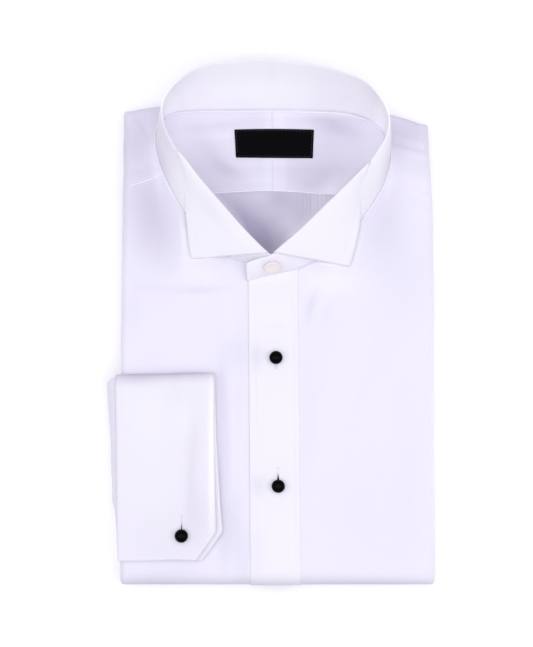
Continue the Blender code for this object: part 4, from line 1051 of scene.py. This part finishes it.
def makeCuff():
    # lower layer, fold and upper layer in one run, with the slot between two halves of each row
    lowColumns, highColumns, radius = 28, 20, cuff["foldRadius"]
    fold = cuff["foldLeft"] - cuff["foldReach"]
    marks = [cuff["end"], link["slotLow"], link["slotHigh"], fold]
    levels = []
    for low, high in zip(marks, marks[1:]):
        levels += spread(low, high, 1.0 if high - low < 16.0 else 1.6)[:-1]
    levels.append(fold)
    stations = [(y, 0.0, 0.0) for y in levels]
    for t in steps(14)[1:-1]:
        angle = math.pi * t
        stations.append((fold + cuff["foldReach"] * math.sin(angle), radius * (1.0 - math.cos(angle)), t))
    stations += [(y, 2.0 * radius, 1.0) for y in reversed(levels)]
    rows, holes, flat = [], set(), []
    run = 0.0
    for r, (y, height, layer) in enumerate(stations):
        inSlot = link["slotLow"] <= y <= link["slotHigh"] and layer in (0.0, 1.0)
        half = slotHalfWidth(link, y) if inSlot else shutSlot
        if inSlot and link["slotLow"] <= stations[r + 1][0] <= link["slotHigh"]:
            holes.add((r, lowColumns))
        run += abs(y - stations[r - 1][0]) if r else 0.0
        share = (y - cuff["end"]) / (fold - cuff["end"])
        left = mix(cuff["seamLow"], cuff["seamTop"], share)
        across = [mix(left, link["x"] - half, u) for u in steps(lowColumns)]
        across += [mix(link["x"] + half, freeEdge(y, layer), u) for u in steps(highColumns)]
        row = []
        for x in across:
            slope = (cuff["foldRight"] - cuff["foldLeft"]) * smoothStep(-110.0, -42.0, x)
            slope *= smoothStep(0.7, 1.0, share)
            wave = 0.9 * bell(x + 69.0, 13.0) * smoothStep(0.12, 0.0, share)
            high = cuffBottom(x, min(y, cuff["level"])) + height + cuffTop(x, y) * layer
            row.append(Vector((x, y + slope + wave, high)))
        rows.append(row)
        flat.append([(x, run) for x in across])
    made = Cloth(rows, holes, flat).piece("cuffRight", "interlined", ["cuff_right"], wall=cuff["wall"],
                                          thin=0.195, spots=cuffPaintedShade)


sleeve = {"wall": 0.6, "under": 2.2, "low": 18.6, "highOut": 140.6, "highIn": 147.4}
sleeveEdge = table("y out",
    (18.6, 0.9), (27.6, 1.8), (38.4, 2.9), (52.8, 4.1), (60.0, 5.7), (74.3, 6.1), (88.7, 6.9), (103.0, 7.2),
    (117.4, 8.3), (131.7, 9.3), (140.6, 9.8))


def makeSleeve():
    # the sleeve comes up round the side of the pack and goes in under the cuff
    rows, flat = [], []
    for v in spread(0.0, 1.0, 0.011):
        row, spots = [], []
        for t in steps(34):
            y = mix(sleeve["low"], mix(sleeve["highOut"], sleeve["highIn"], smoothStep(0.75, 0.25, t)), v)
            top = bodyTop(flatSide(-1, y), y)
            left = mix(cuff["seamLow"], cuff["seamTop"], (y - cuff["end"]) / 130.0)
            out = min(pack["left"] - readTable(sleeveEdge, y, "y", "out") + 0.3, left - 0.4)
            under = pack["left"] + sleeve["under"]
            way = [Vector((x, y, z)) for x, z in (
                (left + 6.0, top + 0.45), (left + 0.6, top + 1.1), (mix(left, out, 0.5), top + 0.4),
                (out, mix(top, 0.0, 0.32)), (out + 0.3, 8.0), (mix(out, under, 0.5), 2.4),
                (under, sleeve["wall"] / 2.0 + 0.3))]
            ripple = 0.35 * unrest(t * 26.0, y, 7.0, 6.1)
            ripple *= smoothStep(0.0, 0.3, t) * smoothStep(1.0, 0.7, t)
            row.append(splineAt(way, t) + Vector((-ripple, 0.0, ripple)))
            spots.append((t * 38.0, y))
        rows.append(row[::-1])
        flat.append(spots[::-1])
    made = Cloth(rows, flat=flat).piece("sleeveRight", "poplin", ["sleeve_right"], wall=sleeve["wall"],
                                        thin=0.18)


makeCuff()
makeSleeve()
print("cuff and sleeve ready")


# studs, link, button

trim = {"ball": 4.8, "flat": 0.8, "post": 0.95, "disc": 4.2, "discWall": 0.9, "sides": 48}


def lathe(points, faces, profile, where, direction):
    # adds a turned body; profile rows are (radius, height), the first and last on the axis
    turn, sides = direction.to_track_quat("Z", "Y"), trim["sides"]
    rings = []
    for radius, height in profile:
        onAxis = radius == 0.0
        rings.append([len(points)] * sides if onAxis else list(range(len(points), len(points) + sides)))
        for t in steps(sides)[:1 if onAxis else -1]:
            angle = 2.0 * math.pi * t
            spoke = Vector((radius * math.cos(angle), radius * math.sin(angle), height))
            points.append(where + turn @ spoke)
    for low, high in zip(rings, rings[1:]):
        for i in range(sides):
            j = (i + 1) % sides
            corners = [low[i], low[j], high[j], high[i]]
            faces.append([v for k, v in enumerate(corners) if v != corners[k - 1]])


def addShankAndSlotShade(points, faces, spot, low, high):
    # a flat black blade on the post that fills the open part of the buttonhole: by the post it is the
    # stud's shank, further along it is a dark sheet standing in for shade in the slot
    way = -1.0 if spot["slotHigh"] - spot["y"] < spot["y"] - spot["slotLow"] else 1.0
    start = len(points)
    reach = [0.0, 4.0, 6.0, 8.0, spot["shut"] - 0.6]
    for z in (low, high):
        for side in (-1.0, 1.0):
            for along in reach:
                y = spot["y"] + way * along
                half = max(0.04, slotHalfWidth(spot, y) - 0.05)
                points.append(Vector((spot["x"] + side * half, y, z)))
    count = len(reach)
    rows = [start, start + count, start + 3 * count, start + 2 * count]
    for near, far in zip(rows, rows[1:] + rows[:1]):
        faces.extend([near + i, near + i + 1, far + i + 1, far + i] for i in range(count - 1))
    for end in (0, count - 1):
        faces.append([row + end for row in rows])


def makeStud(name, spot, disc, ball, node):
    r, wall, size = trim["disc"], trim["discWall"], trim["ball"]
    profile = [(0.0, disc), (r * 0.94, disc), (r, disc + 0.2), (r, disc + wall - 0.2),
               (r * 0.94, disc + wall), (trim["post"], disc + wall), (trim["post"], ball)]
    cutOff = 0.16                # the share of the ball that the post takes
    lowest = math.cos(math.pi * cutOff)
    for t in steps(24)[1:-1]:
        angle = math.pi * mix(cutOff, 1.0, t)
        profile.append((size * math.sin(angle), ball + trim["flat"] * size * (lowest - math.cos(angle))))
    profile.append((0.0, ball + trim["flat"] * size * (lowest + 1.0)))
    points, faces = [], []
    lathe(points, faces, profile, Vector((spot["x"], spot["y"], 0.0)), Vector((0.0, 0.0, 1.0)))
    if spot["wide"] > 0.3:
        addShankAndSlotShade(points, faces, spot, disc + 0.2, ball - 0.15)
    dress(makeMesh(name, points, faces), "onyx", [node])


for name, spot, disc, ball, node in (("studUpper", studUpper, -1.1, 1.0, "stud_upper"),
                                     ("studLower", studLower, -1.1, 1.0, "stud_lower"),
                                     ("cuffLink", link, 0.35, 6.45, "cuff_link")):
    under = bodyTop(spot["x"], spot["y"])
    makeStud(name, spot, under + disc, under + ball, node)

button = {"x": -0.2, "up": 0.5, "radius": 6.2, "thick": 1.6, "facing": (0.1, -0.85, 0.52)}


def makeButton():
    up, r, h = button["up"], button["radius"], button["thick"]
    ends = [mix(0.85, 1.0, t) for t in steps(240)]
    nearest = min(ends, key=lambda t: abs(bandPoint(t, up).x - button["x"]))
    seam, top = collarStation(nearest)
    outward = (top - seam).cross(bandPoint(nearest + 0.01, up) - bandPoint(nearest, up)).normalized()
    if outward.y > 0.0:
        outward.negate()
    # back, rounded rim and dished face, as shares of the radius and the thickness
    profile = [(r * out, h * high) for out, high in (
        (0.0, 0.0), (0.86, 0.0), (0.97, 0.2), (1.0, 0.5), (0.97, 0.85), (0.9, 1.0), (0.8, 1.0), (0.7, 0.82),
        (0.6, 0.74), (0.0, 0.72))]
    points, faces = [], []
    where = seam.lerp(top, up) + outward * (collar["wall"] / 2.0 + collar["bow"] + 0.2)
    lathe(points, faces, profile, where, Vector(button["facing"]).normalized())
    dress(makeMesh("collarButton", points, faces), "ivory", ["collar_button"])


makeButton()
print("trim ready")


# label

label = {"low": ((-26.0, 308.1), (29.5, 307.6)), "high": ((-27.1, 328.1), (30.3, 328.0)), "arch": 0.5,
         "wall": 0.5, "lift": 0.62}


def labelPlace(u, v):
    # x and y between the corners, and how far the upper edge arches there
    low, high = (Vector(left).lerp(Vector(right), u) for left, right in (label["low"], label["high"]))
    return (*low.lerp(high, v), label["arch"] * v * 4.0 * u * (1.0 - u))


def labelPoint(u, v):
    x, y, arch = labelPlace(u, v)
    return Vector((x, y + arch, neckFloor(x, y + arch) + label["lift"]))


def labelFace(u, v):
    x, y, arch = labelPlace(u, v)
    return Vector((x, y + arch, neckFloor(x, y) + label["lift"] + label["wall"] / 2.0))


cloth = Cloth([[labelPoint(u, v) for u in steps(40)] for v in steps(17)])
made = cloth.piece("neckLabel", "label", ["neck_label"], wall=label["wall"])
print("label ready")


# sewing

thread = {"radius": 0.2, "length": 2.0, "gap": 0.65, "proud": 0.12, "on": 0.05}


def onSheet(surface, a, b, lift):
    # a point lifted off a surface that is given as a function of two numbers, with its normal
    point, small = surface(a, b), 0.002
    normal = (surface(a + small, b) - point).cross(surface(a, b + small) - point).normalized()
    if normal.z < 0.0:
        normal.negate()
    return point + normal * lift, normal


class Sewing:
    # stitches and welts of one piece, gathered in one mesh; a way is a list of places on a surface
    def __init__(self):
        self.points, self.faces = [], []

    def tube(self, way, radii, sides, flat=1.0):
        start = len(self.points)
        for i, ((point, normal), radius) in enumerate(zip(way, radii)):
            along = way[min(i + 1, len(way) - 1)][0] - way[max(i - 1, 0)][0]
            across = along.cross(normal).normalized()
            for k in range(sides):
                angle = 2.0 * math.pi * k / sides
                self.points.append(point + across * radius * math.cos(angle)
                                   + normal * radius * flat * math.sin(angle))
        rings = [list(range(start + i * sides, start + (i + 1) * sides)) for i in range(len(way))]
        for near, far in zip(rings, rings[1:]):
            for k in range(sides):
                j = (k + 1) % sides
                self.faces.append([near[k], near[j], far[j], far[k]])
        self.faces += [rings[0][::-1], rings[-1]]

    def stitch(self, start, end, radius=thread["radius"]):
        (low, up), (high, _) = start, end
        dip = up * thread["proud"]
        way = [(low.lerp(high, share) + dip * rise, up)
               for share, rise in ((0.0, -1.0), (0.16, 0.4), (0.84, 0.4), (1.0, -1.0))]
        self.tube(way, [radius * 0.5, radius, radius, radius * 0.5], 5)

    def line(self, surface, places, lift=thread["on"]):
        # running stitches
        way = [onSheet(surface, a, b, lift) for a, b in places]
        runs = [0.0]
        for (a, _), (b, _) in zip(way, way[1:]):
            runs.append(runs[-1] + (b - a).length)

        def at(run):
            i = max(k for k in range(len(runs) - 1) if runs[k] <= run or k == 0)
            t = (run - runs[i]) / max(runs[i + 1] - runs[i], 1e-6)
            return way[i][0].lerp(way[i + 1][0], t), way[i][1].lerp(way[i + 1][1], t).normalized()

        pitch = thread["length"] + thread["gap"]
        for k in range(int(runs[-1] / pitch)):
            self.stitch(at(k * pitch), at(k * pitch + thread["length"]))

    def welt(self, surface, places, radius, lift):
        # a rounded seam edge that thins out at its ends
        way = [onSheet(surface, a, b, lift) for a, b in places]
        self.tube(way, [radius * 0.3] + [radius] * (len(way) - 2) + [radius * 0.3], 8, 0.7)

    def buttonhole(self, surface, hole, low, high, tack):
        # threads side by side round the slot from low to high, then a bar across its end
        for y in spread(low, high, 0.5):
            for side in (-1.0, 1.0):
                near = hole["x"] + side * (slotHalfWidth(hole, y) + 0.05)
                self.stitch(*(onSheet(surface, x, y, 0.0) for x in (near, near + side * 1.1)), 0.17)
        for y in (tack - 0.35, tack, tack + 0.35):
            self.stitch(*(onSheet(surface, hole["x"] + half, y, thread["on"]) for half in (-1.5, 1.5)))

    def piece(self, name, slotName, finish=whiteThread):
        flat = [(p.x, p.y) for p in self.points]
        dress(makeMesh(name, self.points, self.faces, flat), slotName, finish=finish)


def bodySurface(x, y):
    return Vector((x, y, bodyTop(x, y)))


def cuffSurface(x, y):
    high = 2.0 * cuff["foldRadius"] + cuffTop(x, y) + cuff["wall"] / 2.0
    return Vector((x, y, cuffBottom(x, min(y, cuff["level"])) + high))


def yokeSurface(x, y):
    return Vector((x, y, sewnFloor(x, y) + seamGap))


def besideSeam(first, last, away):
    # places beside the collar's seam, outside the neck where away is over 0
    places = []
    for t in spread(first, last, 0.1):
        seam = splineAt(collarSeams, t / collarLast)
        places.append(seam + (seam - neckMiddle.xy).normalized() * away)
    return places


def sewPlacket():
    sewn = Sewing()
    ys = spread(1.0 + pack["roundHem"], 213.0, 4.0)
    sewn.line(placketSurface, [(placketLeft(y) + placket["leftInset"], y) for y in ys])
    sewn.line(placketSurface, [(placketRight(y) - placket["rightInset"], y) for y in ys])
    top = placket["evenTo"]
    across = spread(placketLeft(top) + 1.0, placketRight(top) - 1.0, 3.0)
    sewn.line(placketSurface, [(x, top + 0.6 + 0.05 * x) for x in across])
    sewn.buttonhole(placketSurface, studUpper, 155.2, 157.4, 154.4)
    sewn.buttonhole(placketSurface, studLower, 75.0, 82.0, 83.0)
    sewn.piece("placketSewing", "interlined")


def sewCuff():
    sewn = Sewing()
    inset, high = 4.6, cuff["level"]
    low = cuff["end"] + inset
    way = [(cuff["seamTop"] + inset, y) for y in spread(high, low, 4.0)]
    corner = freeEdge(cuff["end"], 1.0) - 1.6
    way += [(x, low) for x in spread(cuff["seamLow"] + inset, corner, 4.0)[1:]]
    way += [(freeEdge(y, 1.0) - inset, y) for y in spread(cuff["end"] + cuff["mitre"], high, 4.0)]
    sewn.line(cuffSurface, way)
    sewn.buttonhole(cuffSurface, link, 40.2, 49.4, 50.4)
    sewn.piece("cuffSewing", "interlined")


def sewCollar():
    sewn = Sewing()
    way = [(s, 0.88) for s in spread(0.12, 0.94, 0.04)] + [(0.94, u) for u in spread(0.86, 0.1, 0.04)]
    for side in (-1, 1):
        sewn.line(partial(wingPoint, side), way, collar["wall"] / 2.0 + thread["on"])
    sewn.piece("collarSewing", "interlined")


def sewSeams():
    sewn = Sewing()
    outside = []
    for x, y in besideSeam(1.4, 26.0, 1.7) + [(0.0, math.inf)]:
        if y < flatShoulder(x):
            outside.append((x, y))
        elif outside:
            sewn.welt(bodySurface, outside, 0.6, 0.1)
            outside = []
    for side in (-1, 1):
        xNeck, xSide = yokeSeamEnds(side)
        xs = spread(xNeck + side * 1.5, xSide - side * 0.5, 1.5)
        sewn.welt(bodySurface, [(x, yokeSeam(side, x) - 0.5) for x in xs], 0.5, 0.3)
        sewn.line(bodySurface, [(x, yokeSeam(side, x) + 1.6) for x in xs], 0.15)
    sewn.piece("seams", "poplin")


def sewInside():
    sewn = Sewing()
    sewn.welt(yokeSurface, besideSeam(5.4, 21.4, -1.7), 0.6, 0.1)
    edge = [(x, readTable(yokeBottom, x)) for x in spread(-44.0, 50.0, 1.5)]
    sewn.welt(yokeSurface, [(x, y - 0.7) for x, y in edge], 0.55, 0.15)
    sewn.line(yokeSurface, [(x, y + 1.4) for x, y in edge], 0.1)
    sewn.piece("insideSewing", "poplin")


def sewLabel():
    sewn = Sewing()
    way = [(u, 0.05) for u in spread(0.02, 0.98, 0.08)] + [(0.98, v) for v in spread(0.12, 0.95, 0.12)]
    way += [(u, 0.95) for u in spread(0.94, 0.02, 0.08)] + [(0.02, v) for v in spread(0.88, 0.12, 0.12)]
    sewn.line(labelFace, way, 0.02)
    sewn.piece("labelSewing", "label", blackThread)


for sew in (sewPlacket, sewCuff, sewCollar, sewSeams, sewInside, sewLabel):
    sew()
print("sewing ready")


# stage, light and camera

stage = {"floorColor": (0.97, 0.97, 0.97, 1.0), "grainColor": (0.96, 0.96, 0.96, 1.0), "floorGlow": 0.1,
         "skyColor": (0.975, 0.965, 1.018, 1.0), "skyLight": 0.56, "half": 3.0, "below": 0.0002}
lamps = table("name power toward distance size",
    ("lightRight", 2.3, (0.64, -0.14, 0.75), 1.4, (0.32, 0.32)),
    ("lightLeft", 1.6, (-0.64, -0.14, 0.75), 1.4, (0.32, 0.32)),
    ("lightFront", 0.6, (0.0, -0.56, 0.83), 1.6, (1.3, 0.7)),
    ("lightTop", 15.4, (0.0, 0.0, 1.0), 1.8, (2.0, 2.0)))
view = {"elevation": 86.2, "distance": 1.5, "mmPerPixel": 0.718, "imageHeight": 647.0, "aimX": -3.97,
        "aimY": 186.65, "aimZ": 22.0}


def makeFloor():
    mesh = bpy.data.meshes.new("floor")
    half = stage["half"]
    corners = [(x * half, y * half, -stage["below"]) for x, y in ((-1, -1), (1, -1), (1, 1), (-1, 1))]
    mesh.from_pydata(corners, [], [[0, 1, 2, 3]])
    floor = bpy.data.objects.new("floor", mesh)
    bpy.context.scene.collection.objects.link(floor)
    finish = Finish("floorPaper")
    grain = finish.cloud(finish.onObject(), 900.0, 2.0)
    mesh.materials.append(finish.surface(
        BaseColor=finish.blend(grain, stage["floorColor"], stage["grainColor"]), Roughness=0.9,
        SpecularIORLevel=0.1, EmissionColor=(1.0, 1.0, 1.0, 1.0), EmissionStrength=stage["floorGlow"]))


def makeLamp(row):
    lamp = bpy.data.lights.new(row["name"], "AREA")
    lamp.shape = "RECTANGLE"
    (lamp.size, lamp.size_y), lamp.energy = row["size"], row["power"]
    lamp.color = stage["skyColor"][:3]
    lit = bpy.data.objects.new(row["name"], lamp)
    lit.location = Vector(row["toward"]).normalized() * row["distance"]
    lit.rotation_mode = "QUATERNION"
    lit.rotation_quaternion = lit.location.to_track_quat("Z", "Y")
    bpy.context.scene.collection.objects.link(lit)


def makeCamera():
    lift = math.radians(view["elevation"])
    back = Vector((0.0, -math.cos(lift), math.sin(lift)))
    camera = bpy.data.objects.new("camera", bpy.data.cameras.new("camera"))
    camera.data.lens = view["distance"] / (view["mmPerPixel"] * view["imageHeight"] * metresPerMm) * 36.0
    camera.data.sensor_width = 36.0
    camera.location = place(Vector((view["aimX"], view["aimY"], view["aimZ"]))) + back * view["distance"]
    camera.rotation_mode = "QUATERNION"
    camera.rotation_quaternion = back.to_track_quat("Z", "Y")
    bpy.context.scene.collection.objects.link(camera)
    bpy.context.scene.camera = camera


makeFloor()
for row in lamps:
    makeLamp(row)
makeCamera()
world = bpy.data.worlds.new("studio")
world.use_nodes = True
sky = world.node_tree.nodes["Background"].inputs
sky["Color"].default_value, sky["Strength"].default_value = stage["skyColor"], stage["skyLight"]
bpy.context.scene.world = world
bpy.context.scene.view_settings.view_transform = "Standard"
print("stage ready")
